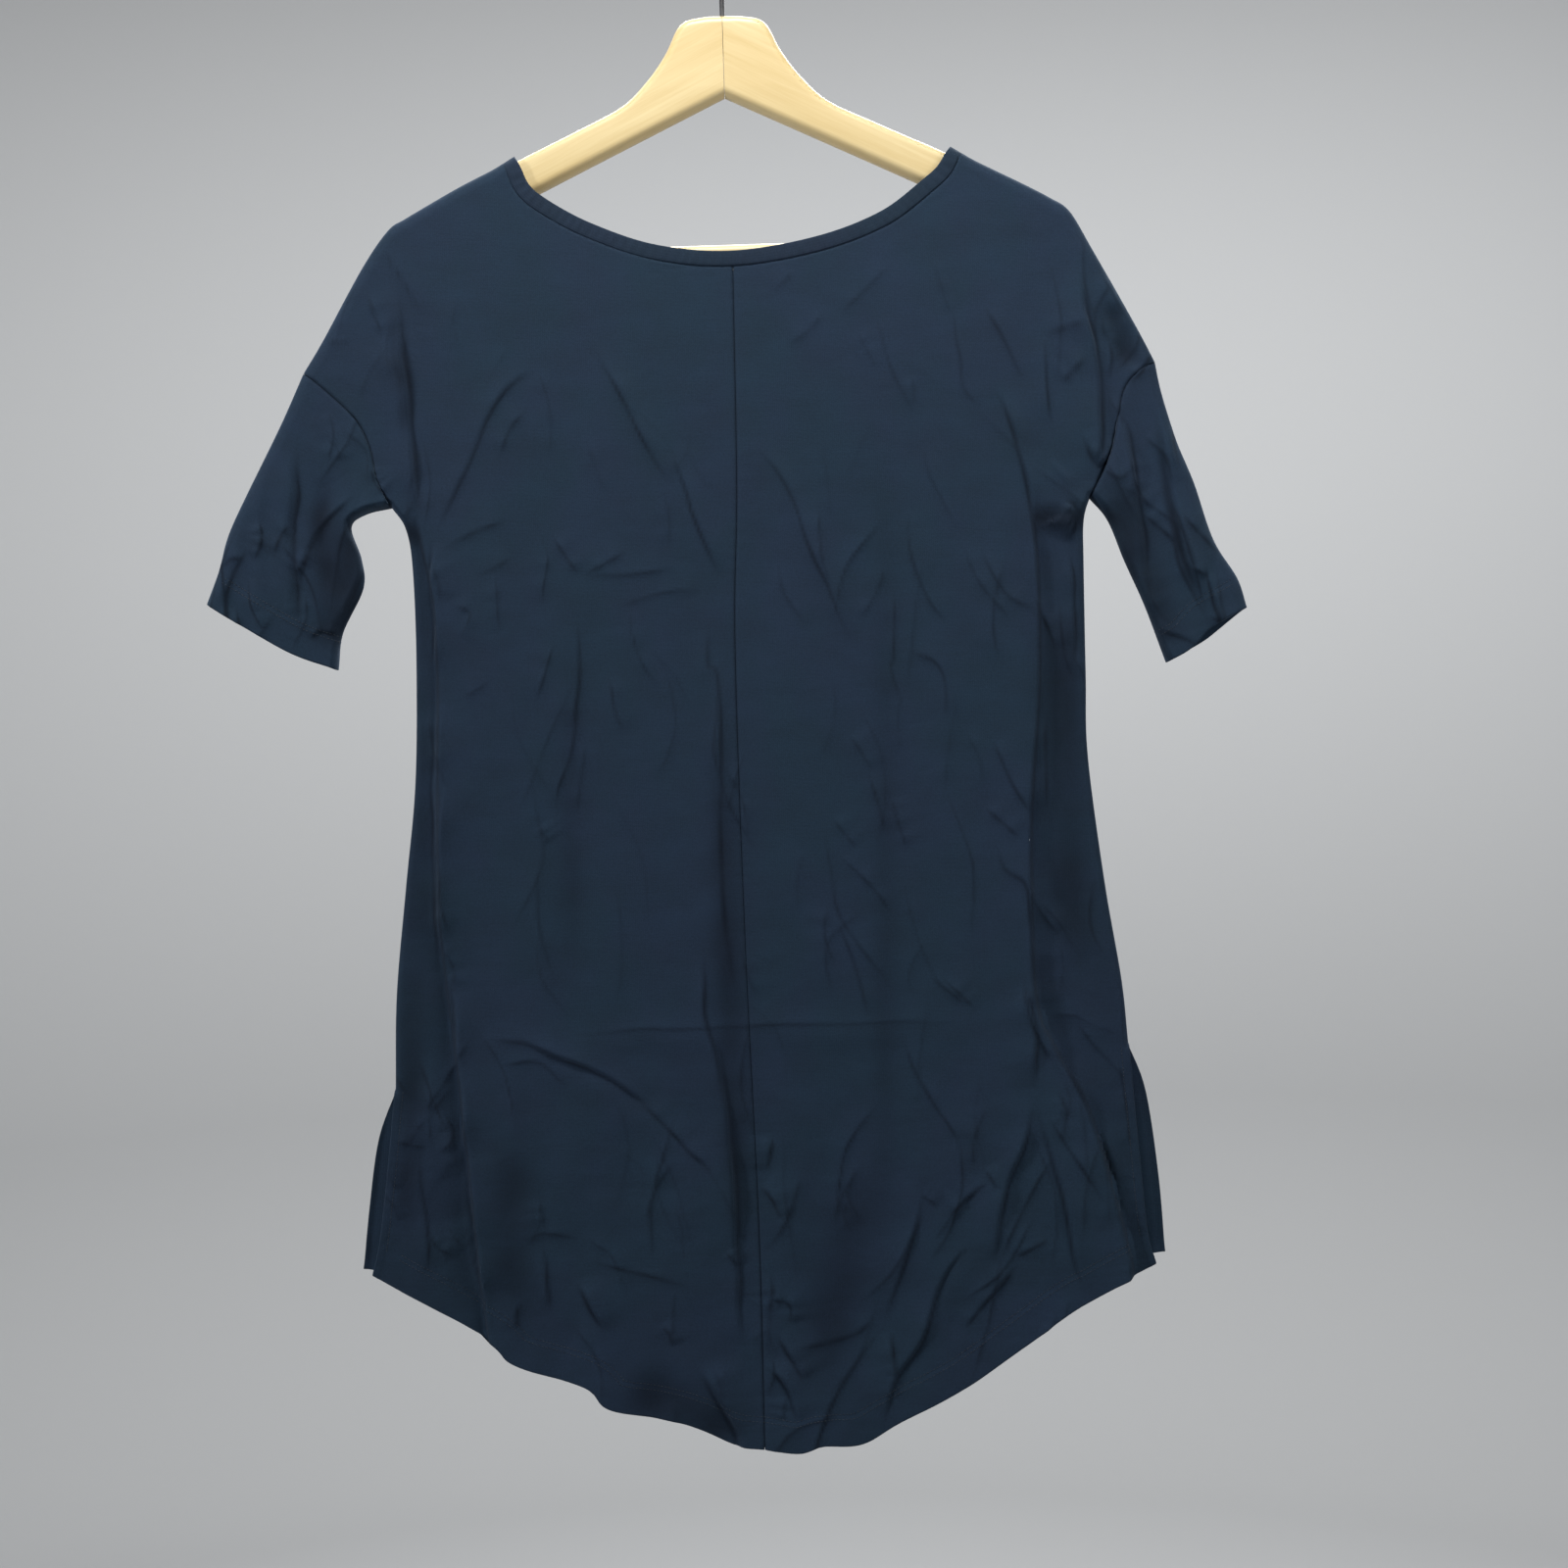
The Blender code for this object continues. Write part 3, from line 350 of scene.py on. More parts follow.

# Creases of the back. Each row: what it is, its height (minus is a hollow or a pressed line), its
# width on the lower and on the upper side of the line, its kind, and the x, z places it passes.
# Kind 0 is a broad soft form, 1 is a pressed line whose upper or left side is raised, and -1 a
# pressed line whose lower or right side is raised.
# A hollow's or a pressed line's depth also sets the painted shade in the cloth's colour there
BODY_CREASES = (
    ("upper left fold", 1.1, 12, 9, 0, (-87, -282), (-50, -352), (-10, -437)),
    ("upper right fold", 1.0, 10, 12, 0, (11, -344), (45, -410), (71, -480)),
    ("valley left of the seam", -1.6, 14, 8, 0, (-16, -500), (-15, -640), (-12, -900)),
    ("hem curls back", -3.6, 16, 18, 0, (-92, -944), (-62, -953), (-38, -966), (-10, -980)),
    ("right strip falls back", -1.9, 15, 17, 0, (203, -400), (204, -520), (206, -640), (214, -730)),
    ("left strip falls back", -1.7, 13, 10, 0, (-212, -640), (-219, -760), (-226, -880)),
    ("valley in the right tail", -1.5, 18, 20, 0, (70, -800), (52, -880), (34, -960)),
    ("valley by the left tail", -1.5, 17, 16, 0, (-150, -770), (-158, -850), (-150, -910)),
    ("left packing fold", -0.7, 8, 10, 0, (-104, -434), (-110, -580), (-113, -716)),
    ("right packing fold", -0.7, 10, 8, 0, (96, -334), (85, -690), (78, -909)),
    ("soft fold over the hip", 1.1, 11, 9, 0, (-150, -722), (0, -722), (170, -723)),
    ("low left fold", 1.8, 13, 7, 0, (-152, -721), (-85, -762), (-29, -810)),
    ("low right fold", 1.7, 9, 14, 0, (178, -768), (156, -828), (148, -875)),
    ("tail fold", 1.6, 12, 9, 0, (138, -854), (110, -905), (84, -942)),
    ("long crease", -1.2, 1.7, 1.7, 1, (-87, -282), (-68, -323), (-54, -352), (-39, -374)),
    ("long crease, lower", -1.4, 1.8, 1.7, 1, (-42, -346), (-30, -383), (-17, -418), (-7, -435)),
    ("centre pull", -1.2, 1.7, 1.8, 1, (11, -344), (32, -375), (45, -415), (60, -450), (71, -480)),
    ("centre pull branch", -0.6, 1.7, 1.7, 1, (51, -382), (51, -419), (57, -442)),
    ("centre pull foot", -0.5, 1.7, 1.7, 1, (26, -422), (30, -445), (43, -466)),
    ("right blade", -0.6, 1.8, 1.8, 1, (92, -268), (100, -303), (117, -334)),
    ("right blade branch", -0.4, 1.7, 1.7, 1, (79, -276), (91, -303)),
    ("right blade tick", -0.4, 1.7, 1.7, 1, (113, -307), (114, -327)),
    ("right shoulder", -0.7, 1.9, 1.9, 1, (139, -261), (145, -294), (146, -315), (159, -332)),
    ("right armhole", -1.8, 2.4, 2.2, 1, (163, -312), (174, -336), (182, -369), (187, -396), (191, -440)),
    ("right armhole, upper", -0.8, 2.2, 1.9, 1, (159, -262), (172, -286), (185, -313)),
    ("right chest", -0.8, 1.8, 1.8, 1, (108, -391), (111, -428), (120, -448), (133, -467)),
    ("right waist", -0.8, 1.8, 1.8, 1, (96, -438), (96, -481), (94, -494), (102, -518)),
    ("right waist, outer", -0.8, 1.8, 1.8, 1, (103, -480), (122, -488), (129, -502), (128, -528)),
    ("right chest, outer", -0.8, 1.8, 1.8, 1, (152, -415), (168, -446), (189, -458)),
    ("right chest, inner", -0.6, 1.8, 1.8, 1, (142, -415), (154, -442), (174, -466)),
    ("right of the neck", -0.5, 1.8, 1.8, 1, (67, -267), (86, -251), (102, -236)),
    ("right neck pull", -0.45, 1.7, 1.7, 1, (32, -286), (50, -275), (59, -262)),
    ("right neck tick", -0.4, 1.7, 1.7, 1, (26, -251), (40, -238)),
    ("left arc", -1.2, 1.9, 2.1, 1, (-191, -398), (-165, -346), (-150, -316), (-133, -300), (-119, -296)),
    ("left arc, inner", -0.7, 1.8, 1.8, 1, (-150, -352), (-142, -333), (-130, -320)),
    ("left chest", -0.7, 1.8, 1.8, 1, (-187, -408), (-156, -393), (-142, -390)),
    ("left chest tick", -0.5, 1.7, 1.7, 1, (-167, -426), (-143, -413)),
    ("star, up", -0.8, 1.8, 1.8, 1, (-100, -428), (-110, -414), (-119, -400)),
    ("star, right", -0.9, 1.8, 1.8, 1, (-100, -428), (-85, -420), (-70, -412)),
    ("star, long", -0.8, 1.7, 1.7, 1, (-100, -428), (-66, -427), (-36, -423)),
    ("star, low", -0.7, 1.8, 1.8, 1, (-118, -468), (-126, -490), (-133, -510)),
    ("star, left", -0.6, 1.7, 1.7, 1, (-123, -407), (-122, -421), (-126, -447)),
    ("star, down", -1.0, 1.9, 1.9, 1, (-107, -451), (-102, -475), (-106, -508), (-107, -534)),
    ("left middle", -0.6, 1.7, 1.8, 1, (-77, -448), (-47, -439), (-20, -439)),
    ("left middle, outer", -0.7, 1.8, 1.8, 1, (-184, -442), (-171, -449), (-178, -466)),
    ("left middle tick", -0.5, 1.7, 1.7, 1, (-179, -502), (-159, -492)),
    ("seam fold, upper", -1.0, 2.2, 1.9, 1, (-20, -454), (-21, -487), (-15, -500), (-17, -603)),
    ("seam fold, middle", -1.2, 2.4, 1.9, 1, (-17, -560), (-17, -637), (-14, -671), (-8, -703)),
    ("seam fold, left", -1.1, 2.4, 2.0, 1, (-30, -664), (-30, -705), (-23, -740), (-19, -762)),
    ("seam fold, strong", -2.5, 2.9, 2.3, 1,
     (-26, -712), (-20, -745), (-16, -790), (-14, -842), (-14, -894), (-8, -929)),
    ("packing crease", -0.9, 1.7, 1.7, 1, (-132, -719), (-84, -715.5), (-2, -715), (87, -716), (144, -717)),
    ("packing crease, right", -0.8, 1.8, 1.8, 1, (184, -715), (204, -715), (218, -723), (238, -729)),
    ("low arc, upper", -1.9, 2.2, 2.0, 1,
     (-152, -715), (-133, -728), (-108, -737), (-85, -751), (-62, -769)),
    ("low arc, lower", -1.5, 2.0, 1.8, 1, (-74, -760), (-52, -781), (-40, -795), (-27, -807)),
    ("low arc, second", -0.9, 1.9, 1.9, 1, (-163, -735), (-136, -734), (-116, -752)),
    ("low arc, third", -0.9, 1.9, 1.9, 1, (-170, -718), (-142, -722), (-119, -733)),
    ("left hip", -0.8, 1.8, 1.8, 1, (-106, -497), (-109, -538), (-119, -565), (-119, -579)),
    ("left hip, inner", -0.6, 1.8, 1.8, 1, (-100, -532), (-107, -580)),
    ("left hip, outer", -0.6, 1.8, 1.8, 1, (-131, -584), (-125, -596)),
    ("left side line", -2.0, 2.6, 2.4, -1, (-195, -494), (-198, -560), (-199, -640), (-197, -700)),
    ("left lip", -1.6, 2.4, 2.2, -1, (-189, -546), (-196, -597), (-197, -659), (-189, -680)),
    ("left lip, lower", -2.6, 2.5, 2.3, -1, (-189, -672), (-187, -735), (-185, -762), (-191, -803)),
    ("left lip, hem", -2.6, 2.5, 2.3, -1, (-182, -785), (-182, -820), (-177, -865), (-173, -900)),
    ("left slit fold", -1.1, 2.0, 2.0, 1, (-216, -792), (-211, -836), (-212, -874)),
    ("left slit, across", -0.9, 1.9, 1.9, 1, (-230, -783), (-209, -788)),
    ("left slit, low", -1.0, 1.9, 1.9, 1, (-209, -836), (-204, -850), (-191, -856)),
    ("left slit, upper", -0.9, 1.9, 1.9, 1, (-191, -748), (-206, -765)),
    ("left slit, hook", -0.9, 1.9, 1.9, 1, (-199, -762), (-192, -779), (-206, -794)),
    ("low left tick", -0.8, 1.8, 1.8, 1, (-138, -819), (-136, -839)),
    ("low left line", -1.1, 2.0, 2.0, 1, (-139, -849), (-135, -870), (-134, -896)),
    ("low left hook", -1.0, 1.9, 1.9, 1, (-146, -852), (-139, -842), (-112, -846)),
    ("low left curve", -1.0, 2.0, 2.0, 1, (-109, -860), (-68, -872), (-44, -880)),
    ("low left wedge", -1.7, 2.8, 2.2, 1, (-116, -874), (-106, -892), (-98, -907)),
    ("hem fold", -6.5, 3.2, 3.6, 1, (-42, -928), (-32, -946), (-24, -960), (-18, -974), (-16, -996)),
    ("tail, left", -0.9, 1.8, 1.8, 1, (-20, -856), (-13, -867)),
    ("right of the seam", -1.3, 1.9, 2.1, 1, (10, -785), (6, -809)),
    ("right of the seam, arc", -1.4, 2.0, 2.0, 1, (2, -816), (10, -826), (15, -838)),
    ("tail, arc", -1.3, 2.0, 2.0, 1, (3, -888), (17, -892), (18, -905)),
    ("tail, right fold", -2.0, 2.2, 2.4, 1, (2, -930), (15, -946), (22, -967)),
    ("tail, second fold", -1.8, 2.2, 2.4, 1, (10, -909), (18, -925), (26, -942)),
    ("tail, across", -1.3, 2.0, 2.2, 1, (18, -919), (37, -918), (61, -912), (72, -898)),
    ("right hip", -0.7, 1.8, 1.8, 1, (66, -533), (82, -558)),
    ("right hip, long", -0.8, 1.8, 1.8, 1, (78, -554), (86, -588), (88, -599)),
    ("right hip, outer", -0.7, 1.8, 1.8, 1, (92, -572), (101, -608)),
    ("right hip, low", -0.9, 1.9, 1.9, 1, (56, -650), (68, -684), (74, -715)),
    ("right hip tick", -0.6, 1.8, 1.8, 1, (54, -584), (71, -606)),
    ("right hip, inner", -0.8, 1.8, 1.8, 1, (58, -608), (85, -640), (89, -652)),
    ("right side, upper", -1.0, 1.9, 1.9, 1, (158, -536), (166, -563), (181, -588)),
    ("right side, second", -0.8, 1.9, 1.9, 1, (150, -580), (173, -602)),
    ("right side, long", -1.2, 2.0, 2.0, 1,
     (156, -601), (164, -622), (176, -632), (178, -656), (179, -711)),
    ("right side, branch", -0.9, 1.9, 1.9, 1, (176, -632), (189, -654), (199, -666)),
    ("right lip", -1.0, 2.2, 2.4, 1, (192, -520), (189, -592)),
    ("right low tick", -0.8, 1.8, 1.8, 1, (122, -689), (144, -712)),
    ("right low tick, inner", -0.7, 1.8, 1.8, 1, (113, -686), (136, -707)),
    ("flap edge, upper", -1.9, 2.1, 2.1, 1, (174, -694), (178, -725), (177, -763)),
    ("flap edge", -2.6, 2.3, 2.3, 1, (180, -715), (193, -739), (212, -777), (228, -826), (234, -861)),
    ("flap fold", -2.2, 2.2, 2.2, 1, (178, -770), (188, -808), (194, -836), (199, -873), (209, -897)),
    ("flap fold, short", -1.1, 2.0, 2.0, 1, (185, -777), (204, -808), (221, -836)),
    ("low right line", -2.2, 2.2, 2.2, 1, (178, -768), (168, -800), (156, -828), (148, -875)),
    ("low right tick", -1.0, 1.9, 1.9, 1, (143, -810), (153, -824)),
    ("low right, inner", -0.9, 1.9, 1.9, 1, (102, -824), (115, -833)),
    ("low right, across", -1.2, 1.9, 2.1, 1, (118, -840), (132, -830), (146, -817)),
    ("low right, long", -1.3, 2.0, 2.0, 1, (104, -829), (97, -850), (89, -873), (76, -907)),
    ("tail, long", -2.0, 2.1, 2.1, 1, (138, -854), (117, -874), (102, -915), (84, -942), (74, -975)),
    ("low right, outer", -1.4, 2.0, 2.0, 1, (165, -870), (148, -889), (126, -914)),
    ("low right, corner", -1.1, 1.9, 1.9, 1, (162, -868), (182, -855)),
    ("tail, tick", -1.3, 2.0, 2.0, 1, (81, -911), (84, -942)),
    ("right below the hip", -0.9, 1.9, 1.9, 1, (94, -722), (104, -750), (123, -782), (130, -802)),
    ("flap, across", -1.0, 1.9, 1.9, 1, (204, -715), (220, -740), (237, -761)),
    ("left drop shoulder", -3.4, 3.6, 2.4, 1, (-212, -240), (-207, -299), (-203, -358), (-201, -393)),
    ("left drop shoulder, beside", -1.3, 6.0, 3.0, 0, (-216, -250), (-211, -300), (-208, -350)),
    ("left shoulder tick", -0.6, 1.8, 1.8, 1, (-258, -275), (-241, -274)),
    ("left shoulder line", -0.7, 1.9, 1.9, 1, (-230, -244), (-221, -272)),
    ("left underarm tick", -0.9, 1.8, 1.8, 1, (-229, -353), (-228, -364), (-220, -375)),
    ("left strip", -2.0, 2.4, 2.2, -1, (-193, -400), (-196, -427), (-194, -457), (-196, -492)),
    ("right drop shoulder", -3.6, 2.6, 3.0, 1,
     (223, -236), (224, -268), (230, -295), (233, -317), (230, -368), (228, -385)),
    ("right drop shoulder ridge", 1.8, 6.0, 4.0, 0, (237, -245), (248, -269), (258, -289)),
    ("right drop shoulder hollow", -3.2, 7.0, 10.0, 0, (240, -262), (247, -290), (252, -312)),
    ("right cap edge", -1.2, 2.0, 2.2, 1, (270, -304), (264, -300), (257, -311), (248, -317)),
    ("right armhole spoke", -0.9, 1.9, 1.9, 1, (198, -285), (226, -275)),
    ("right armhole line", -0.9, 1.9, 1.9, 1, (198, -285), (198, -329), (201, -344)),
    ("right armhole pull", -0.9, 1.9, 1.9, 1, (207, -316), (225, -297)),
    ("right armhole hook", -1.8, 2.2, 2.2, 1, (218, -347), (229, -367), (241, -352)),
    ("right underarm highlight", 1.3, 3.2, 3.0, 0, (199, -362), (213, -381)),
    ("right underarm hollow", -3.2, 4.0, 3.4, 1, (205, -388), (214, -394), (213, -406), (208, -417)),
    ("right underarm line", -1.4, 2.1, 2.1, 1, (208, -412), (212, -440), (212, -459), (211, -500)),
)
# As on the back, each hollow's or pressed line's depth also sets painted shade in the colour
SLEEVE_CREASES = (
    ("left sleeve valley", -2.0, 3.2, 5.0, 1,
     (-278, -337), (-279, -370), (-281, -395), (-281, -439), (-278, -464)),
    ("left sleeve hollow", -2.8, 8.0, 7.0, 0, (-261, -356), (-264, -400), (-261, -422), (-251, -440)),
    ("left sleeve falls back", -2.6, 15, 17, 0, (-240, -384), (-250, -410), (-252, -440), (-262, -485)),
    ("right sleeve falls back", -2.8, 13, 15, 0, (238, -372), (250, -410), (262, -450), (274, -500)),
    ("left sleeve roll", 1.2, 4.0, 5.0, 0, (-300, -350), (-303, -395), (-300, -440)),
    ("left sleeve branch", -0.9, 1.9, 1.9, 1, (-270, -407), (-281, -422)),
    ("left sleeve tick", -1.1, 1.9, 2.0, 1, (-331, -418), (-320, -411), (-311, -411)),
    ("left cuff fold", -1.5, 2.0, 2.0, 1, (-274, -464), (-266, -459), (-254, -462)),
    ("left sleeve roll, under", -3.0, 2.6, 2.2, 1, (-249, -389), (-231, -383), (-210, -382)),
    ("left sleeve, inner", -1.4, 2.2, 2.4, 1, (-250, -390), (-239, -412), (-244, -432), (-256, -456)),
    ("left underarm tick", -0.9, 1.8, 1.8, 1, (-229, -353), (-228, -364), (-220, -375)),
    ("right sleeve valley", -2.4, 3.0, 4.0, 1,
     (246, -320), (243, -337), (248, -346), (252, -375), (256, -397), (259, -436), (261, -460)),
    ("right sleeve fold", -2.6, 5.0, 2.4, 1,
     (268, -330), (271, -362), (275, -386), (280, -415), (290, -450), (296, -470)),
    ("right sleeve pull", -1.1, 1.9, 1.9, 1, (257, -397), (268, -408), (280, -421)),
    ("right sleeve pull, outer", -1.1, 1.9, 1.9, 1, (279, -399), (292, -412), (306, -426)),
    ("right sleeve tick", -0.8, 1.8, 1.8, 1, (284, -433), (297, -439)),
    ("right cuff fold", -1.3, 2.0, 2.0, 1, (296, -465), (306, -468), (322, -460)),
    ("right cap edge", -1.2, 2.0, 2.2, 1, (270, -304), (264, -300), (257, -311), (248, -317)),
    ("right armhole hook", -0.9, 1.9, 1.9, 1, (229, -367), (241, -376), (249, -370)),
)

# Uneven sheets: seed, patch size across and down, height, on the body and on the sleeves
RIPPLES = (
    ("slow drape", 11, 52.0, 230.0, 1.5),
    ("pull under the shoulders", 12, 30.0, 105.0, 0.6),
    ("handled cloth", 13, 17.0, 30.0, 0.17),
    ("small wrinkles", 14, 7.5, 9.0, 0.055),
)
HEM_RIPPLES = (
    ("hem waves", 21, 30.0, 46.0, 1.5),
    ("hem wrinkles", 22, 14.0, 19.0, 0.45),
)
# Fine grooves along the level lines of a noise: seed, patch across and down, width, height, and the
# share of the cloth that has them
PRESSED_MESH = (
    ("pressed mesh", 45, 15.0, 21.0, 1.6, 0.13, 0.40),
    ("pressed mesh, fine", 47, 8.0, 11.0, 1.3, 0.07, 0.40),
)
# Creases placed by chance. Each row: where, seed, left, right, low, high, how many, shortest,
# longest, least and most depth, lean from upright in degrees (plus leans to the right going down),
# and how much the lean varies.
SCATTERED = (
    ("yoke", 101, -190, 190, -420, -250, 14, 34, 100, 0.14, 0.4, 15, 26),
    ("waist", 102, -185, 185, -700, -420, 30, 40, 130, 0.25, 0.8, 5, 15),
    ("below the packing fold", 103, -170, 180, -850, -720, 12, 50, 140, 0.25, 0.7, 6, 14),
    ("tail, left", 104, -190, -25, -945, -800, 8, 40, 110, 0.3, 0.9, 8, 16),
    ("tail, right", 105, 10, 215, -965, -790, 13, 45, 130, 0.4, 1.1, -30, 10),
    ("left strip", 106, -238, -190, -860, -420, 20, 24, 80, 0.4, 1.1, 10, 20),
    ("right strip", 107, 178, 246, -870, -420, 16, 34, 100, 0.4, 1.2, 12, 12),
    ("left drop shoulder", 108, -262, -195, -385, -225, 8, 30, 80, 0.25, 0.8, -10, 14),
    ("right drop shoulder", 109, 190, 262, -390, -225, 12, 30, 90, 0.4, 1.2, 10, 18),
    ("hem edge", 110, -240, 240, -985, -880, 16, 16, 42, 0.4, 1.1, 2, 16),
)
SCATTERED_ON_SLEEVES = (
    ("left sleeve", 121, -332, -245, -478, -320, 16, 26, 95, 0.4, 1.4, -12, 14),
    ("right sleeve", 122, 240, 318, -488, -320, 18, 28, 100, 0.5, 1.8, 14, 12),
)
# A share of these fork: the turn of the fork in degrees, and its length and depth as shares
FORK_SHARE = 0.15
FORK_TURN = (24, 52)
FORK_LENGTH = 0.5
FORK_DEPTH = 0.8
SCATTERED_BOW = 0.14

# How far each crease's line strays, and how it swells and fades along its run
CREASE_WANDER = 1.1
CREASE_WANDER_PATCH = 21.0
END_FADE = 0.3
PULSE = 0.18
# The side of a line that counts as its upper one
UP_SIDE = (-0.15, 1.0)
# A soft form's reach in widths, and how dark the painted shade in a hollow gets and from which depth
SOFT_REACH = 2.6
HOLLOW_SHADE = 0.92
FULL_HOLLOW = 2.2
# A pressed line's crest: its slopes in widths, its height, and the depth from which that is full
SLOPE_REACH = 15.0
LONG_SLOPE = 6.0
SHORT_SLOPE = 1.6
CREASE_STRENGTH = 4.4
UPRIGHT_STRENGTH = 0.45
CREST_SHARE = 0.62
FULL_CREST = 1.6
# Where a deep line laps over: the depth from which it does, its share of the height, and its width
CREST_ONLY = 0.8
FALL_SHARE = 0.4
THIN_WIDTH = 0.6
# The painted shadow beyond a pressed line, in the cloth's colour: how dark, from which depth, how much
# less on level lines, and its place and width as parts of the thin width
GROOVE_SHADE = 0.95
FULL_GROOVE = 1.1
LEVEL_SHADE_LOSS = 0.25
SHADOW_PLACE = 0.6
SHADOW_WIDTH = 0.95

# The tint that painted shade multiplies into the colour in creases, hollows, seams and at the lips
PAINTED_SHADE_TINT = (0.22, 0.26, 0.32)
# The painted shade on the step at a side strip's lip, and on the strip itself
LIP_SHADE = 0.85
STRIP_SHADE = 0.22
# Seams and hems
SEAM_ROLL = 0.65
SEAM_ROLL_WIDTH = 1.15
# Painted shade along the seam lines: how dark and how wide
SEAM_SHADE = 0.65
SEAM_SHADE_WIDTH = 0.7
PUCKER_HEIGHT = 0.08
PUCKER_PITCH = 7.5
PUCKER_REACH = 6.5
HEM_HEIGHT = 19.0
SLIT_HEM_WIDTH = 5.5
HEM_STEP = 0.32
STITCH_GROOVE = 0.28
STITCH_GROOVE_WIDTH = 1.0
EDGE_ROLL = 0.7
EDGE_ROLL_WIDTH = 1.0
TWIN_NEEDLE_GAP = 3.2
STITCH_PROUD = 0.08

BAND_OVERLAP = 0.35
ALLOWANCE_WIDTH = 6.0
ALLOWANCE_THICKNESS = 0.8
ALLOWANCE_CLEARANCE = 0.3

# Grid spacing: rows of a place along the edge, in millimetres, and the spacing there
COLUMN_SPACING = (
    ("centre seam", 0.0, 0.28),
    ("beside the seam", 3.5, 1.85),
    ("neck", 150.0, 2.5),
    ("neck point", 170.0, 0.8),
    ("shoulder", 185.0, 2.6),
    ("drop shoulder", 335.0, 2.5),
    ("near the side", 349.0, 0.6),
    ("side", 355.0, 0.16),
)
ROW_SPACING = (
    ("top edge", 0.0, 0.16),
    ("below the top edge", 6.0, 0.7),
    ("yoke", 14.0, 1.75),
    ("body", 300.0, 1.72),
    ("tail", 700.0, 1.4),
    ("near the hem", 738.0, 1.0),
    ("hem", 748.0, 0.28),
)
SLEEVE_COLUMN_SPACING = (
    ("fold", 0.0, 0.16),
    ("beside the fold", 7.0, 1.2),
    ("middle", 50.0, 1.25),
    ("beside the underarm", 95.0, 1.0),
    ("underarm", 102.0, 0.16),
)
SLEEVE_ROW_SPACING = (
    ("armhole", 0.0, 0.22),
    ("below the armhole", 4.0, 1.2),
    ("sleeve", 80.0, 1.4),
    ("near the cuff", 145.0, 1.0),
    ("cuff", 152.0, 0.25),
)
INNER_STEP = 4
# The hidden front's grid is this much coarser
FRONT_COLUMNS_COARSER = 1.6
FRONT_ROWS_COARSER = 1.4
NECK_END = COLUMN_SPACING[3][1] / COLUMN_SPACING[-1][1]


def smooth(places, steps=STEPS_PER_PLACE):
    """A smooth line of x, z points through a table's places."""
    knots = np.array([place[-2:] for place in places], float)
    knots = np.vstack([2 * knots[0] - knots[1], knots, 2 * knots[-1] - knots[-2]])
    share = np.linspace(0, 1, steps, endpoint=False)[:, None]
    line = []
    for before, start, end, after in zip(knots, knots[1:], knots[2:], knots[3:]):
        bend = 2 * before - 5 * start + 4 * end - after
        twist = 3 * start - before - 3 * end + after
        line.append(start + 0.5 * share * (end - before + share * (bend + share * twist)))
    return np.vstack([*line, knots[-2:-1]])


def joined(*lines):
    return np.vstack([lines[0], *(line[1:] for line in lines[1:])])


def length_of(line):
    return np.linalg.norm(np.diff(line, axis=0), axis=1).sum()


def along(line, shares):
    """The points of a line at these shares of its length."""
    steps = np.linalg.norm(np.diff(line, axis=0), axis=1)
    reached = np.concatenate([[0], np.cumsum(steps)]) / steps.sum()
    return np.column_stack([np.interp(shares, reached, line[:, axis]) for axis in range(line.shape[1])])


def moved_left(points, distance):
    """The points of a line moved to the left of the way it runs."""
    run = np.gradient(points, axis=0)
    run /= np.linalg.norm(run, axis=1)[:, None]
    return points + distance * np.column_stack([-run[:, 1], run[:, 0]])


def ease(share):
    share = np.clip(share, 0, 1)
    return share * share * (3 - 2 * share)


def turn_over(distance, radius):
    """How much of its depth the cloth has at a distance from its folded edge."""
    return np.sqrt(1 - (1 - np.clip(distance / radius, 0, 1)) ** 2)


def beside(line, points, reach):
    """Distance from a line, plus on the left of its run, and the share of the line that is nearest.

    Points further off than reach are given as reach away, at share 0.
    """
    x, z = points[..., 0].ravel(), points[..., 1].ravel()
    signed, nearest, share = np.full(x.size, float(reach)), np.full(x.size, float(reach)), np.zeros(x.size)
    low, high = line.min(axis=0) - reach, line.max(axis=0) + reach
    close = np.flatnonzero((x > low[0]) & (x < high[0]) & (z > low[1]) & (z < high[1]))
    steps = np.diff(line, axis=0)
    lengths = np.maximum(np.linalg.norm(steps, axis=1), 1e-6)
    passed = np.concatenate([[0], np.cumsum(lengths)])
    for start, step, length, before in zip(line, steps, lengths, passed):
        low, high = np.minimum(start, start + step) - reach, np.maximum(start, start + step) + reach
        near_x, near_z = x[close], z[close]
        here = close[(near_x > low[0]) & (near_x < high[0]) & (near_z > low[1]) & (near_z < high[1])]
        away_x, away_z = x[here] - start[0], z[here] - start[1]
        run = np.clip((away_x * step[0] + away_z * step[1]) / length**2, 0, 1)
        distance = np.hypot(away_x - run * step[0], away_z - run * step[1])
        closer = distance < nearest[here]
        chosen = here[closer]
        nearest[chosen] = distance[closer]
        side = np.where(step[0] * away_z - step[1] * away_x >= 0, 1, -1)
        signed[chosen] = (distance * side)[closer]
        share[chosen] = ((before + run * length) / passed[-1])[closer]
    return signed.reshape(points.shape[:-1]), share.reshape(points.shape[:-1])


def distance_to(line, points, reach):
    return np.abs(beside(line, points, reach)[0])


def uneven(points, seed, across, down):
    """Smooth noise from -1 to 1 in patches of about this size."""
    values = np.random.default_rng(seed).uniform(-1, 1, (97, 97))
    u, v = points[..., 0] / across + 40.3, points[..., 1] / down + 60.7
    column, row = np.floor(u).astype(int), np.floor(v).astype(int)
    right, up = ease(u - column), ease(v - row)
    column, row = column % 96, row % 96
    low = values[row, column] * (1 - right) + values[row, column + 1] * right
    high = values[row + 1, column] * (1 - right) + values[row + 1, column + 1] * right
    return low * (1 - up) + high * up


LAYERS = ("back", "front")


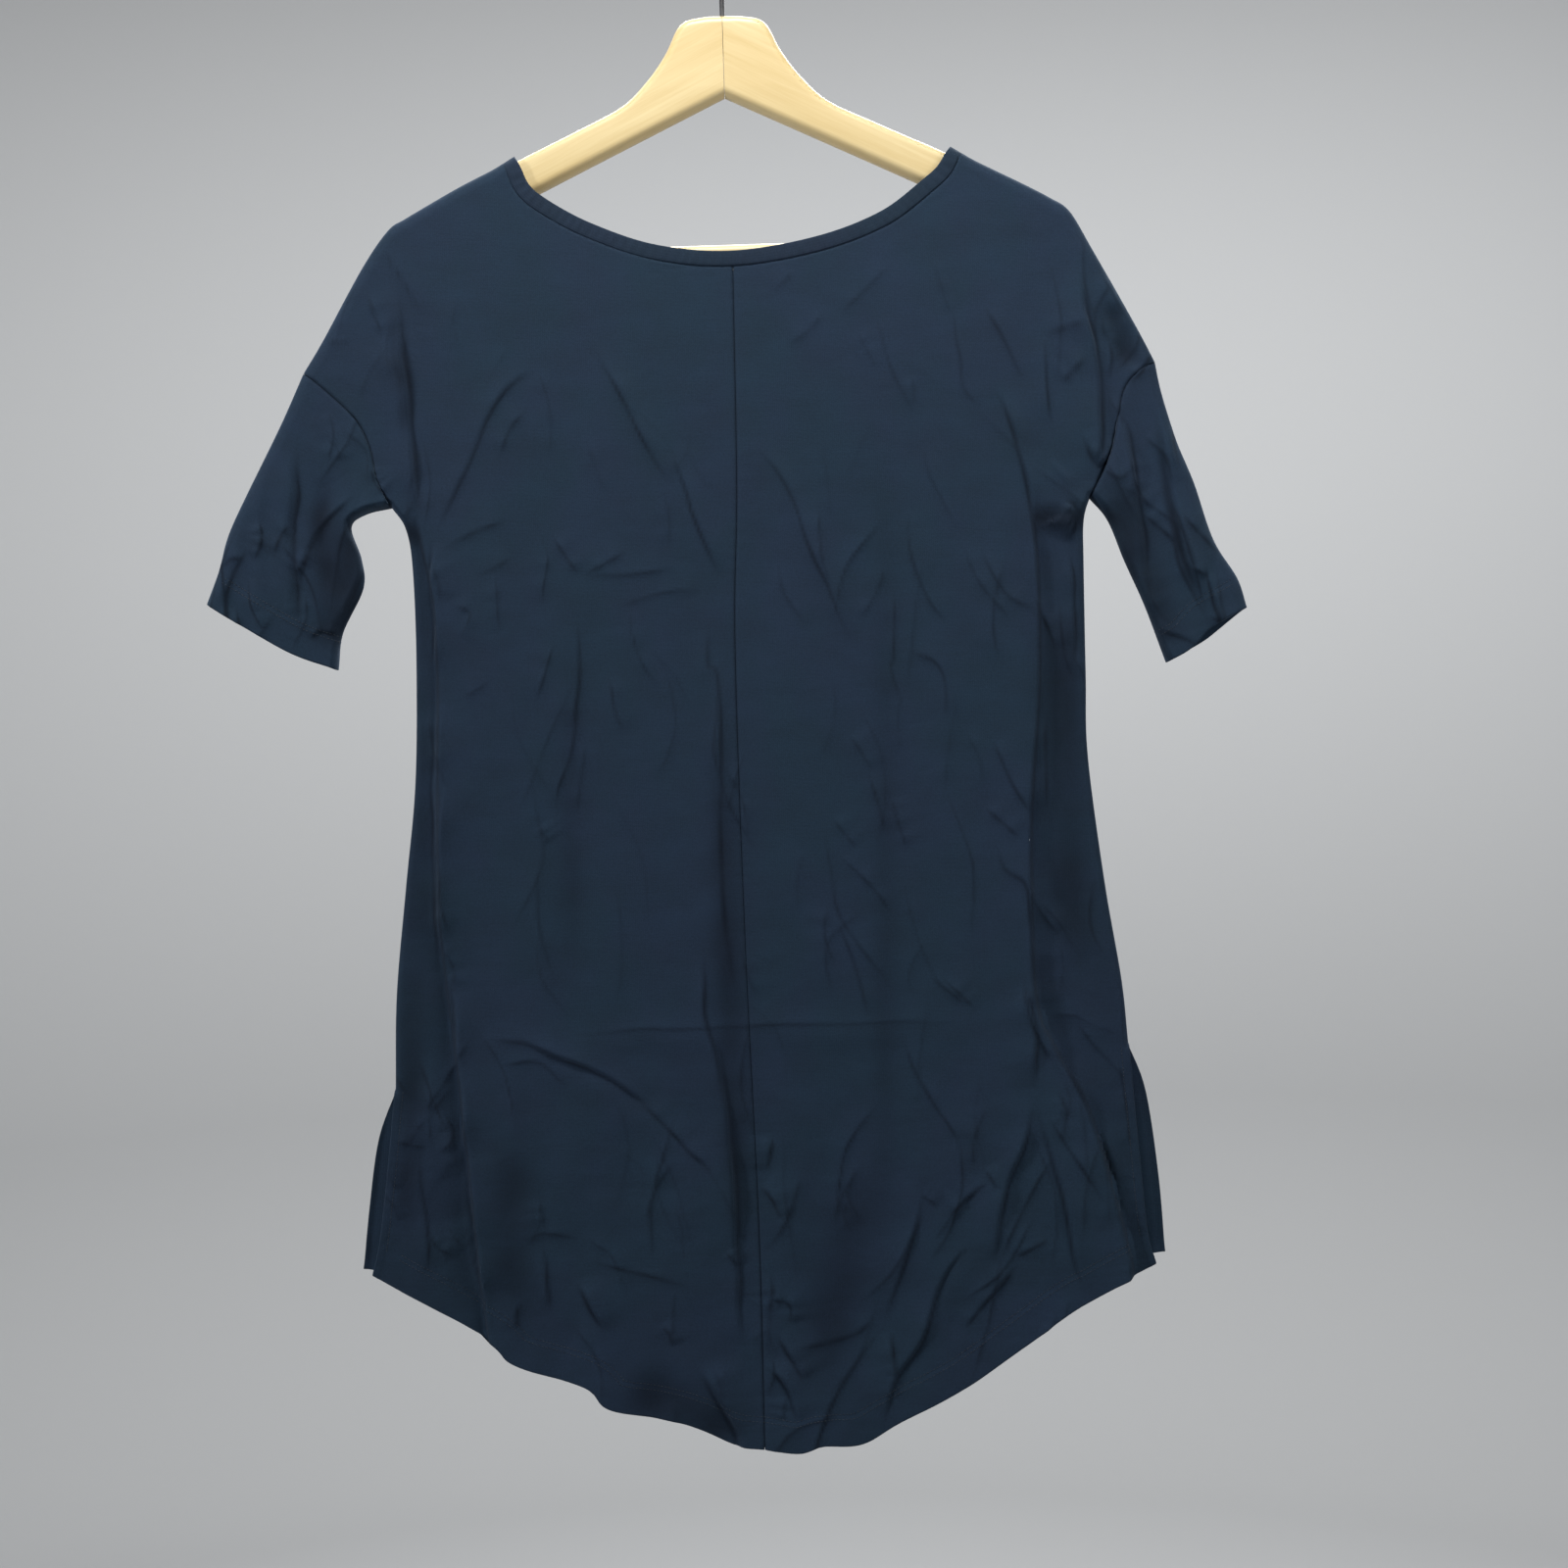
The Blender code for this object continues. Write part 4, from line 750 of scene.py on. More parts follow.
class Side:
    """The edge lines of one side of the garment."""

    def __init__(self, shoulder, armhole, side, slits, hems, fold, undersleeve, cuffs, lip):
        self.shoulder = smooth(shoulder)
        self.armhole = smooth(armhole)
        self.side = smooth(side)
        self.slit = dict(zip(LAYERS, map(smooth, slits)))
        self.hem = dict(zip(LAYERS, map(smooth, hems)))
        self.fold = smooth(fold)
        self.undersleeve = smooth(undersleeve)
        self.cuff = dict(zip(LAYERS, map(smooth, cuffs)))
        self.lip = smooth(lip)
        self.sign = np.sign(self.shoulder[0, 0])
        neck, outwards = self.shoulder[0], self.shoulder[6] - self.shoulder[0]
        self.band_run = -outwards / np.linalg.norm(outwards)
        band_end = neck + 2 * BAND_WIDTH * self.band_run
        self.ridge = joined(np.array([band_end, neck]), self.shoulder, self.fold)
        self.closed_side = joined(self.undersleeve[::-1], self.side)


LEFT = Side(
    LEFT_SHOULDER, LEFT_ARMHOLE, LEFT_SIDE,
    (LEFT_SLIT_BACK, LEFT_SLIT_FRONT), (LEFT_HEM_BACK, LEFT_HEM_FRONT),
    LEFT_SLEEVE_FOLD, LEFT_UNDERSLEEVE, (LEFT_CUFF, LEFT_CUFF), LEFT_LIP,
)
RIGHT = Side(
    RIGHT_SHOULDER, RIGHT_ARMHOLE, RIGHT_SIDE,
    (RIGHT_SLIT_BACK, RIGHT_SLIT_FRONT), (RIGHT_HEM_BACK, RIGHT_HEM_FRONT),
    RIGHT_SLEEVE_FOLD, RIGHT_UNDERSLEEVE, (RIGHT_CUFF_BACK, RIGHT_CUFF_FRONT), RIGHT_LIP,
)
SIDES = (("left", LEFT), ("right", RIGHT))
LAYER_SIGN = {"back": -1, "front": 1}
NECK_SEAM = {"back": NECK_SEAM_BACK, "front": NECK_SEAM_FRONT}
CENTRE = {"back": CENTRE_BACK, "front": CENTRE_FRONT}


def sleeve_share(points):
    """0 on the body and 1 on the sleeves, which end well above the place where the hem is as wide."""
    x, z = points[..., 0], points[..., 1]
    return ease((np.abs(x) - 232) / 30) * ease((z + 600) / 60)


def strip_share(side, points):
    """0 on the main plane and 1 beyond the lip, where the side of the body falls back."""
    x, z = points[..., 0], points[..., 1]
    lip_x = np.interp(z, side.lip[::-1, 1], side.lip[::-1, 0])
    below_underarm = ease((side.lip[0, 1] - z) / 25)
    beyond_lip = ease(0.5 + side.sign * (x - lip_x) / LIP_WIDTH)
    return beyond_lip * below_underarm * (1 - sleeve_share(points))


def soft_form(signed, swell, height, width):
    """The height of a broad form, and the share of the colour that its hollow keeps under painted shade."""
    broad = swell * np.exp(-((np.abs(signed) / width) ** 2))
    return height * broad, 1 - HOLLOW_SHADE * broad * np.clip(-height / FULL_HOLLOW, 0, 1)


def pressed_line(upwards, swell, height, width, upright):
    """The height of a pressed line, and the share of the colour that the cloth beyond it keeps under painted
    shadow.

    The cloth rises slowly to the line on its raised side and falls steeply on the other.
    """
    away = np.abs(upwards)
    strength = CREASE_STRENGTH * (1 + UPRIGHT_STRENGTH * upright) * (1 - np.exp(height / FULL_CREST))
    crest = np.exp(-away / (width * np.where(upwards > 0, LONG_SLOPE, SHORT_SLOPE)))
    thin = THIN_WIDTH * width
    overlap = np.clip((-height - CREST_ONLY) / FULL_GROOVE, 0, 1)
    fall = np.tanh(upwards / thin) * np.exp(-away / (LONG_SLOPE * width)) - np.exp(-((away / thin) ** 2))
    # A painted shadow just beyond the line, put into the colour
    shadow = np.exp(-(((upwards + SHADOW_PLACE * thin) / (SHADOW_WIDTH * thin)) ** 2))
    deep = np.clip(-height / FULL_GROOVE, 0, 1) * (1 - LEVEL_SHADE_LOSS * (1 - upright))
    rise = strength * swell * (CREST_SHARE * crest + FALL_SHARE * overlap * fall)
    return rise, 1 - GROOVE_SHADE * swell * shadow * deep


def crease_heights(points, creases):
    """What the creases add to the height, and how much painted shade each point's colour gets, from 0 to 1.

    Each crease swells between its ends and fades at both.
    """
    patch_size = CREASE_WANDER_PATCH, CREASE_WANDER_PATCH
    wander = np.stack([uneven(points, 31, *patch_size), uneven(points, 32, *patch_size)], axis=-1)
    shifted = (points + CREASE_WANDER * wander).reshape(-1, 2)
    x, z = shifted.T
    total, lit = np.zeros(len(shifted)), np.ones(len(shifted))
    for count, (_, height, lower, upper, kind, *places) in enumerate(creases):
        line = smooth(places, steps=6)
        reach = (SLOPE_REACH if kind else SOFT_REACH) * max(lower, upper)
        low, high = line.min(axis=0) - reach, line.max(axis=0) + reach
        close = np.flatnonzero((x > low[0]) & (x < high[0]) & (z > low[1]) & (z < high[1]))
        if not close.size:
            continue
        signed, share = beside(line, shifted[close], reach)
        run = line[-1] - line[0]
        upwards = signed if -run[1] * UP_SIDE[0] + run[0] * UP_SIDE[1] >= 0 else -signed
        if kind < 0:
            upwards = -upwards
        width = np.where(upwards < 0, lower, upper)
        pulse = 1 - PULSE + PULSE * np.sin(2 * np.pi * (share * (1.3 + count % 3) + 0.37 * count))
        swell = ease(share / END_FADE) * ease((1 - share) / END_FADE) * pulse
        swell *= np.clip(1 - (signed / reach) ** 2, 0, 1) ** 2
        if kind:
            upright = abs(run[1]) / np.linalg.norm(run)
            rise, kept = pressed_line(upwards, swell, height, width, upright)
        else:
            rise, kept = soft_form(signed, swell, height, width)
        total[close] += rise
        lit[close] *= kept
    return total.reshape(points.shape[:-1]), 1 - lit.reshape(points.shape[:-1])


def seed_shift(layer):
    """What the seeds of the hidden front's unevenness are moved by."""
    return 0 if layer == "back" else 50


def pressed_mesh(points, layer):
    """Faint grooves that wander over the cloth."""
    shift = seed_shift(layer)
    wander = 5 * np.stack([uneven(points, seed + shift, 23, 23) for seed in (61, 62)], axis=-1)
    moved = points + wander
    total = np.zeros(points.shape[:-1])
    for _, seed, across, down, width, height, share in PRESSED_MESH:
        level = uneven(moved, seed + shift, across, down)
        rise_x = uneven(moved + (0.5, 0), seed + shift, across, down) - level
        rise_z = uneven(moved + (0, 0.5), seed + shift, across, down) - level
        slope = np.maximum(2 * np.hypot(rise_x, rise_z), 0.25 / max(across, down))
        distance = level / slope
        here = ease((uneven(moved, seed + 1 + shift, 1.6 * across, 1.3 * down) + 2 * share - 1) / 0.3 + 0.5)
        total -= height * here * np.exp(-((distance / width) ** 2))
    return total


def scattered_rows(table):
    """Creases placed by chance, as rows like those the tables list. Some fork."""
    rows = []
    for name, seed, left, right, low, high, count, shortest, longest, least, most, lean, spread in table:
        chance = np.random.default_rng(seed)
        for _ in range(count):
            middle = np.array([chance.uniform(left, right), chance.uniform(low, high)])
            length = shortest + (longest - shortest) * chance.uniform() ** 1.6
            height = -(least + (most - least) * chance.uniform() ** 1.5)
            width = 1.3 + 0.9 * chance.uniform()
            bow = chance.uniform(-SCATTERED_BOW, SCATTERED_BOW) * length
            fork_turn = np.radians(chance.choice((-1, 1)) * chance.uniform(*FORK_TURN))
            angle = 0.0
            for forked in (False, True):
                leaning = np.radians(lean + spread * chance.normal())
                angle = angle + fork_turn if forked else leaning
                run = np.array([np.sin(angle), -np.cos(angle)])
                start = middle if forked else middle - run * length / 2
                end = start + run * length
                bent = (start + end) / 2 + np.array([-run[1], run[0]]) * bow
                rows.append((name, height, width, width, 1, tuple(start), tuple(bent), tuple(end)))
                if chance.uniform() > FORK_SHARE:
                    break
                length, height = FORK_LENGTH * length, FORK_DEPTH * height
    return rows


def ripple_heights(points, layer):
    """The slow unevenness of the hanging cloth, stronger towards the hem."""
    down = -points[..., 1]
    everywhere = 0.3 + 0.7 * ease((down - 230) / 320)
    near_hem = ease((down - 700) / 150)
    total = np.zeros(points.shape[:-1])
    for table, strength in ((RIPPLES, everywhere), (HEM_RIPPLES, near_hem)):
        for _, seed, across, length, height in table:
            total += height * strength * uneven(points, seed + seed_shift(layer), across, length)
    return total


def mirrored(creases):
    """The hidden front's creases: the back's the other way round, softer and a little moved."""
    rows = []
    for count, (name, height, lower, upper, kind, *places) in enumerate(creases):
        if count % 7 == 3:
            continue
        moved = tuple((-x + 5 * np.sin(count), z + 16 + 9 * np.cos(2.3 * count)) for x, z in places)
        rows.append((name, 0.85 * height, upper, lower, kind, *moved))
    return rows


CREASES = {
    ("back", "body"): (*BODY_CREASES, *scattered_rows(SCATTERED)),
    ("back", "sleeve"): (*SLEEVE_CREASES, *scattered_rows(SCATTERED_ON_SLEEVES)),
}
for part_name in ("body", "sleeve"):
    CREASES["front", part_name] = mirrored(CREASES["back", part_name])


def creases_on(points, layer, part):
    """What creases and ripples add to a layer's height, and how much painted shade each point's colour gets.
    """
    heights, groove = crease_heights(points, CREASES[layer, part])
    return heights + pressed_mesh(points, layer) + ripple_heights(points, layer), groove


def handled(points):
    """How much small crumpling the cloth has here, from 0 to 1: most near the hem and the sides."""
    x, z = points[..., 0], points[..., 1]
    low = ease((-640 - z) / 170)
    side = ease((np.abs(x) - 150) / 60)
    patches = 0.5 + 0.5 * uneven(points, 71, 48, 60)
    return np.clip((0.16 + 0.62 * low + 0.4 * side) * (0.35 + 1.1 * patches), 0, 1)


def pucker(distance, share, length, seed):
    """The small gathers that a seam's thread draws into the cloth beside it."""
    position = share * length
    wave = np.sin(2 * np.pi * position / PUCKER_PITCH + 2.1 * np.sin(position / 23 + seed))
    strength = PUCKER_HEIGHT * (0.6 + 0.4 * np.sin(position / 31 + seed))
    return strength * wave * np.exp(-((distance / PUCKER_REACH) ** 2))


def seam_heights(line, points, seed):
    """The dip and the gathers beside a seam line."""
    signed, share = beside(line, points, 3 * PUCKER_REACH)
    distance = np.abs(signed)
    roll = -SEAM_ROLL * np.exp(-((distance / SEAM_ROLL_WIDTH) ** 2))
    inside = distance < 3 * PUCKER_REACH - 0.01
    return roll + inside * pucker(distance, share, length_of(line), seed)


def seams_of(side, layer, part):
    """The lines of the seams round a piece, each with the seed of its gathers."""
    lines = [(side.armhole, 1.7)]
    if part == "body":
        lines.append((smooth(NECK_SEAM[layer]), 0.4))
        if layer == "back":
            lines.append((smooth(CENTRE_BACK), 2.2))
    return lines


def shade_on(side, points, layer, part, creases):
    """How much painted shade the colour gets in creases, along seam lines, on the lip's step and on the
    strip.
    """
    seams = seams_of(side, layer, part)
    distance = np.min([distance_to(line, points, 3 * SEAM_SHADE_WIDTH) for line, _ in seams], axis=0)
    # Painted shade along the seam lines
    painted_seam_shade = SEAM_SHADE * np.exp(-((distance / SEAM_SHADE_WIDTH) ** 2))
    beyond = strip_share(side, points)
    # Painted shade in the creases, on the seams, on the lip's step and on the strip behind it
    return np.max([creases, painted_seam_shade, 4 * LIP_SHADE * beyond * (1 - beyond), STRIP_SHADE * beyond], axis=0)


def turned_edge(line, points, width, seed):
    """A turned-up edge: the doubled cloth, its line of stitches and its rounded fold."""
    reach = width + 14
    signed, share = beside(line, points, reach)
    distance = np.abs(signed)
    inside = distance < reach - 0.01
    doubled = HEM_STEP * (1 - ease((distance - width) / 1.6))
    from_stitches = distance - width
    groove = -STITCH_GROOVE * np.exp(-((from_stitches / STITCH_GROOVE_WIDTH) ** 2))
    roll = -EDGE_ROLL * (1 - np.clip(distance / EDGE_ROLL_WIDTH, 0, 1)) ** 2
    gathers = pucker(from_stitches, share, length_of(line), seed)
    return inside * (doubled + groove + roll + gathers)


def seams_on(side, points, layer, part):
    """Everything that seams and hems add to a sheet's height."""
    total = sum(seam_heights(line, points, seed) for line, seed in seams_of(side, layer, part))
    if part == "sleeve":
        return total + turned_edge(side.cuff[layer], points, HEM_HEIGHT, 4.1)
    total += turned_edge(side.hem[layer], points, HEM_HEIGHT, 3.3)
    below_slit = ease((side.slit[layer][0, 1] - points[..., 1]) / 6)
    return total + below_slit * turned_edge(side.slit[layer], points, SLIT_HEM_WIDTH, 5.2)


def depth(side, points, layer, folds):
    """How far the cloth's outside stands from the middle plane, with these heights added."""
    towards_hem = ease((-450 - points[..., 1]) / 400)
    body = SHOULDER_HALF_DEPTH + (HEM_HALF_DEPTH - SHOULDER_HALF_DEPTH) * towards_hem
    plain = body + (SLEEVE_HALF_DEPTH - body) * sleeve_share(points)
    plain = plain + (STRIP_HALF_DEPTH - plain) * strip_share(side, points) + folds
    over_arms = (np.abs(points[..., 0]) < ARMS_REACH) & (points[..., 1] > ARMS_FOOT)
    least = np.where(over_arms, LEAST_OVER_ARMS, LEAST_HALF_DEPTH)
    over = plain - least
    full = least + np.where(over > 1, over, np.exp(np.minimum(over - 1, 0)))
    over_shoulder = turn_over(distance_to(side.ridge, points, SHOULDER_ROUND), SHOULDER_ROUND)
    over_side = turn_over(distance_to(side.closed_side, points, SIDE_ROUND), SIDE_ROUND)
    return SEAM_GAP / 2 + (full - SEAM_GAP / 2) * over_shoulder * over_side


def standing(side, points, layer, folds):
    """The x, y, z points of a layer of cloth."""
    y = LAYER_SIGN[layer] * depth(side, points, layer, folds)
    return np.stack([points[..., 0], y, points[..., 1]], axis=-1)


def spaced(spacing, coarser=1.0, multiple=INNER_STEP):
    """Shares of a length whose spacing follows a table, in a whole number of inner steps."""
    places, spaces = [row[1] for row in spacing], [coarser * row[2] for row in spacing]
    reached = [0.0]
    while reached[-1] < places[-1]:
        reached.append(reached[-1] + np.interp(reached[-1], places, spaces))
    count = multiple * int(np.ceil((len(reached) - 1) / multiple))
    shares = np.array(reached) / reached[-1]
    return np.interp(np.linspace(0, len(shares) - 1, count + 1), np.arange(len(shares)), shares)


def half_neck(seam, side):
    """The half of a neck seam from its middle to this side's neck point."""
    middle = STEPS_PER_PLACE * (len(seam) // 2)
    line = smooth(seam)
    return line[: middle + 1][::-1] if side is LEFT else line[middle:]


def patch(top, bottom, start, end, columns, rows):
    """The points between four edge lines, whose bends fade away from each edge."""
    across, down = columns[:, None], rows[:, None]

    def bend(line, share):
        return line - ((1 - share) * line[0] + share * line[-1])

    flat_top = (1 - across) * top[0] + across * top[-1]
    flat_bottom = (1 - across) * bottom[0] + across * bottom[-1]
    down, across = down[:, None], across[None]
    plain = (1 - down) * flat_top + down * flat_bottom
    from_ends = (1 - down) ** EDGE_FADE * bend(top, across[0]) + down**EDGE_FADE * bend(bottom, across[0])
    start_bend, end_bend = bend(start, rows[:, None])[:, None], bend(end, rows[:, None])[:, None]
    from_sides = (1 - across) ** EDGE_FADE * start_bend + across**EDGE_FADE * end_bend
    return plain + from_ends + from_sides


def brought_to(line, first=None, last=None, over=10):
    """A line whose ends are moved to these points, with the move fading over its nearest points."""
    line = line.copy()
    fade = np.clip(1 - np.arange(len(line)) / over, 0, 1)[:, None]
    if first is not None:
        line += fade * (first - line[0])
    if last is not None:
        line += fade[::-1] * (last - line[-1])
    return line


def panel_points(side, layer):
    """x, z of a half panel's grid, in rows from the neck and shoulder to the hem."""
    in_front = layer == "front"
    columns = spaced(COLUMN_SPACING, FRONT_COLUMNS_COARSER if in_front else 1)
    rows = spaced(ROW_SPACING, FRONT_ROWS_COARSER if in_front else 1)
    in_neck = columns / NECK_END <= 1
    neck = along(half_neck(NECK_SEAM[layer], side), columns[in_neck] / NECK_END)
    neck = moved_left(neck, -side.sign * SEAM_GAP / 2)
    shoulder = along(side.shoulder, (columns[~in_neck] - NECK_END) / (1 - NECK_END))
    armhole = moved_left(side.armhole, side.sign * -SEAM_GAP / 2)
    outer = along(joined(armhole, side.side, side.slit[layer]), rows)
    inner = along(smooth(CENTRE[layer]), rows)
    top = brought_to(np.vstack([neck, shoulder]), last=outer[0])
    bottom = brought_to(along(side.hem[layer], columns), last=outer[-1])
    return patch(top, bottom, inner, outer, columns, rows)


def sleeve_points(side, layer):
    """x, z of one layer of a sleeve, in rows from the armhole to the cuff."""
    columns = spaced(SLEEVE_COLUMN_SPACING, multiple=2 * INNER_STEP)
    rows = spaced(SLEEVE_ROW_SPACING)
    top = moved_left(along(side.armhole, columns), side.sign * SEAM_GAP / 2)
    bottom = along(side.cuff[layer], columns)
    outer = brought_to(along(side.fold, rows), first=top[0])
    inner = brought_to(along(side.undersleeve, rows), first=top[-1])
    return patch(top, bottom, outer, inner, columns, rows)


def outward_normals(grid):
    """The unit normal at each point of a grid, away from the middle plane."""
    normals = np.cross(np.gradient(grid, axis=0), np.gradient(grid, axis=1))
    normals /= np.maximum(np.linalg.norm(normals, axis=-1), 1e-9)[..., None]
    facing = (normals[..., 1] * np.sign(grid[..., 1])).sum()
    return normals if facing > 0 else -normals


def lowest_near(heights, reach):
    """The lowest height within reach grid steps of each point."""
    padded = np.pad(heights, reach, mode="edge")
    found = heights.copy()
    rows, columns = heights.shape
    for down in range(0, 2 * reach + 1, 2):
        for across in range(0, 2 * reach + 1, 2):
            found = np.minimum(found, padded[down : down + rows, across : across + columns])
    return found


def grid_faces(rows, columns, closed=False, first=0, turned=False):
    """The four-cornered faces of a grid whose points start at number first."""
    wrap = columns if closed else columns - 1
    row, column = np.meshgrid(np.arange(rows - 1), np.arange(wrap), indexing="ij")
    after = (column + 1) % columns
    here, below = row * columns, (row + 1) * columns
    corners = np.stack([here + column, here + after, below + after, below + column], axis=-1)
    corners = corners.reshape(-1, 4) + first
    return (corners[:, ::-1] if turned else corners).tolist()


def rim_faces(fine, coarse):
    """The faces of a rim between a fine line of points and the inner line, one for each inner step."""
    faces = []
    for count in range(len(coarse) - 1):
        outer = fine[count * INNER_STEP : (count + 1) * INNER_STEP + 1]
        faces.append([*outer, coarse[count + 1], coarse[count]])
    return faces


def shell_mesh(name, outer, inner, cloth_map, facts, closed=False):
    """A shell of cloth: a fine outer sheet, a plainer inner one, and the rim between them.

    The facts are named numbers for each outer point, which the finish reads. They are 0 inside.
    """
    rows, columns = outer.shape[:2]
    outer_numbers = np.arange(rows * columns).reshape(rows, columns)
    inner_numbers = np.arange(inner.shape[0] * inner.shape[1]).reshape(inner.shape[:2]) + rows * columns
    faces = grid_faces(rows, columns, closed)
    faces += grid_faces(*inner.shape[:2], closed, rows * columns, True)
    around = (outer_numbers, inner_numbers)
    if closed:
        around = [np.hstack([numbers, numbers[:, :1]]) for numbers in around]
    for end in (0, -1):
        faces += rim_faces(around[0][end].tolist(), around[1][end].tolist())
    if not closed:
        faces += rim_faces(outer_numbers[:, 0].tolist(), inner_numbers[:, 0].tolist())
        faces += rim_faces(outer_numbers[:, -1].tolist(), inner_numbers[:, -1].tolist())
    mesh = mesh_of(name, np.vstack([outer.reshape(-1, 3), inner.reshape(-1, 3)]), faces)
    write_map(mesh, cloth_map)
    for fact, values in facts.items():
        layer = mesh.attributes.new(fact, "FLOAT", "POINT")
        layer.data.foreach_set("value", np.concatenate([values.ravel(), np.zeros(inner_numbers.size)]))
    face_outwards(mesh)
    mesh.shade_smooth()
    mesh.set_sharp_from_angle(angle=np.radians(65))
    return mesh


def mesh_of(name, points, faces):
    """A mesh from points in millimetres."""
    mesh = bpy.data.meshes.new(name)
    mesh.from_pydata((points.reshape(-1, 3) * MM).tolist(), [], faces)
    mesh.update()
    return mesh


def write_map(mesh, places):
    """Writes u, v in metres for each point as the mesh's cloth map."""
    corners = np.empty(len(mesh.loops), np.int32)
    mesh.loops.foreach_get("vertex_index", corners)
    layer = mesh.uv_layers.new(name="cloth")
    layer.data.foreach_set("uv", (places[corners] * MM).ravel())


def face_outwards(mesh):
    shape = bmesh.new()
    shape.from_mesh(mesh)
    bmesh.ops.recalc_face_normals(shape, faces=shape.faces)
    shape.to_mesh(mesh)
    shape.free()


def add_piece(name, mesh, finish):
    """Puts a finished mesh in the scene as a piece of the object."""
    made = bpy.data.objects.new(name, mesh)
    mesh.materials.clear()
    mesh.materials.append(finish)
    bpy.context.scene.collection.objects.link(made)
    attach(made, BODY)
    return made


def layer_of_cloth(side, points, layer, part, wall):
    """The points of a layer outside and inside, the painted shade and the crumpling share its finish reads.
    """
    creases, groove = creases_on(points, layer, part)
    # groove is the painted shade of the creases and hollows
    shade = shade_on(side, points, layer, part, groove)
    folds = creases + seams_on(side, points, layer, part)
    outer = standing(side, points, layer, folds)
    under = standing(side, points, layer, lowest_near(folds, INNER_STEP))
    inner = under - wall * outward_normals(under)
    # The crease attribute carries the painted shade to the finish
    return outer, inner, {"crease": shade, "handled": handled(points)}


def every_step(grid):
    return grid[::INNER_STEP, ::INNER_STEP]


def add_node(tree, kind, settings=None, **inputs):
    """A node. An input is called by its name, or by i and its number."""
    node = tree.nodes.new(kind)
    for key, value in (settings or {}).items():
        setattr(node, key, value)
    for key, value in inputs.items():
        numbered = key[0] == "i" and key[1:].isdigit()
        socket = node.inputs[int(key[1:]) if numbered else key.replace("_", " ")]
        if isinstance(value, bpy.types.NodeSocket):
            tree.links.new(value, socket)
        else:
            socket.default_value = value
    return node


class Finish:
    """A new material with its shader, and what its patterns are built from."""

    def __init__(self, name, colour):
        self.made = bpy.data.materials.new(name)
        self.made.use_nodes = True
        self.made.diffuse_color = (*colour, 1)
        self.tree = self.made.node_tree
        self.shader = self.tree.nodes["Principled BSDF"]

    def add(self, kind, settings=None, **inputs):
        return add_node(self.tree, kind, settings, **inputs)

    def on_piece(self):
        return self.add("ShaderNodeTexCoord").outputs["Object"]

    def stretched(self, place, scale, turn=0.0):
        inputs = {"Vector": place, "Scale": scale, "Rotation": (0, turn, 0)}
        return self.add("ShaderNodeMapping", **inputs).outputs["Vector"]

    def noise(self, place, **inputs):
        return self.add("ShaderNodeTexNoise", Vector=place, **{"Scale": 1.0, **inputs}).outputs["Fac"]

    def waves(self, place, direction, **inputs):
        bands = {"bands_direction": direction}
        return self.add("ShaderNodeTexWave", bands, Vector=place, **inputs).outputs["Fac"]

    def sum_of(self, *parts):
        """The parts' sum, each a pattern and its strength."""
        total, add_up = 0.0, {"operation": "MULTIPLY_ADD"}
        for pattern, strength in parts:
            total = self.add("ShaderNodeMath", add_up, i0=pattern, i1=strength, i2=total).outputs[0]
        return total

    def times(self, first, second):
        return self.add("ShaderNodeMath", {"operation": "MULTIPLY"}, i0=first, i1=second).outputs[0]

    def ramp(self, pattern, dark, light, low=0.0, high=1.0):
        """A colour that goes from dark to light between two values of a pattern."""
        node = self.add("ShaderNodeValToRGB", Fac=pattern)
        for element, colour, place in zip(node.color_ramp.elements, (dark, light), (low, high)):
            element.color = (*colour, 1)
            element.position = place
        return node.outputs["Color"]

    def tinted(self, colour, share, tint):
        multiply = {"data_type": "RGBA", "blend_type": "MULTIPLY"}
        return self.add("ShaderNodeMix", multiply, i0=share, i6=colour, i7=tint).outputs["Result"]

    def relief(self, *layers):
        """Bumps the surface: each layer is a pattern, its strength and its height in metres."""
        under = {}
        for pattern, strength, height in layers:
            bump = self.add("ShaderNodeBump", Strength=strength, Distance=height, Height=pattern, **under)
            under = {"Normal": bump.outputs["Normal"]}
        self.look(**under)

    def rough(self, pattern, least, most):
        between = self.add("ShaderNodeMapRange", Value=pattern, To_Min=least, To_Max=most)
        self.look(Roughness=between.outputs["Result"])

    def look(self, **inputs):
        """Sets the shader's own inputs."""
        for key, value in inputs.items():
            socket = self.shader.inputs[key.replace("_", " ")]
            if isinstance(value, bpy.types.NodeSocket):
                self.tree.links.new(value, socket)
            else:
                socket.default_value = value


def times_each(colour, *factors):
    """A colour whose parts are multiplied by one factor, or each by its own, up to 1."""
    return [min(part * factor, 1) for part, factor in zip(colour, factors * (3 // len(factors)))]


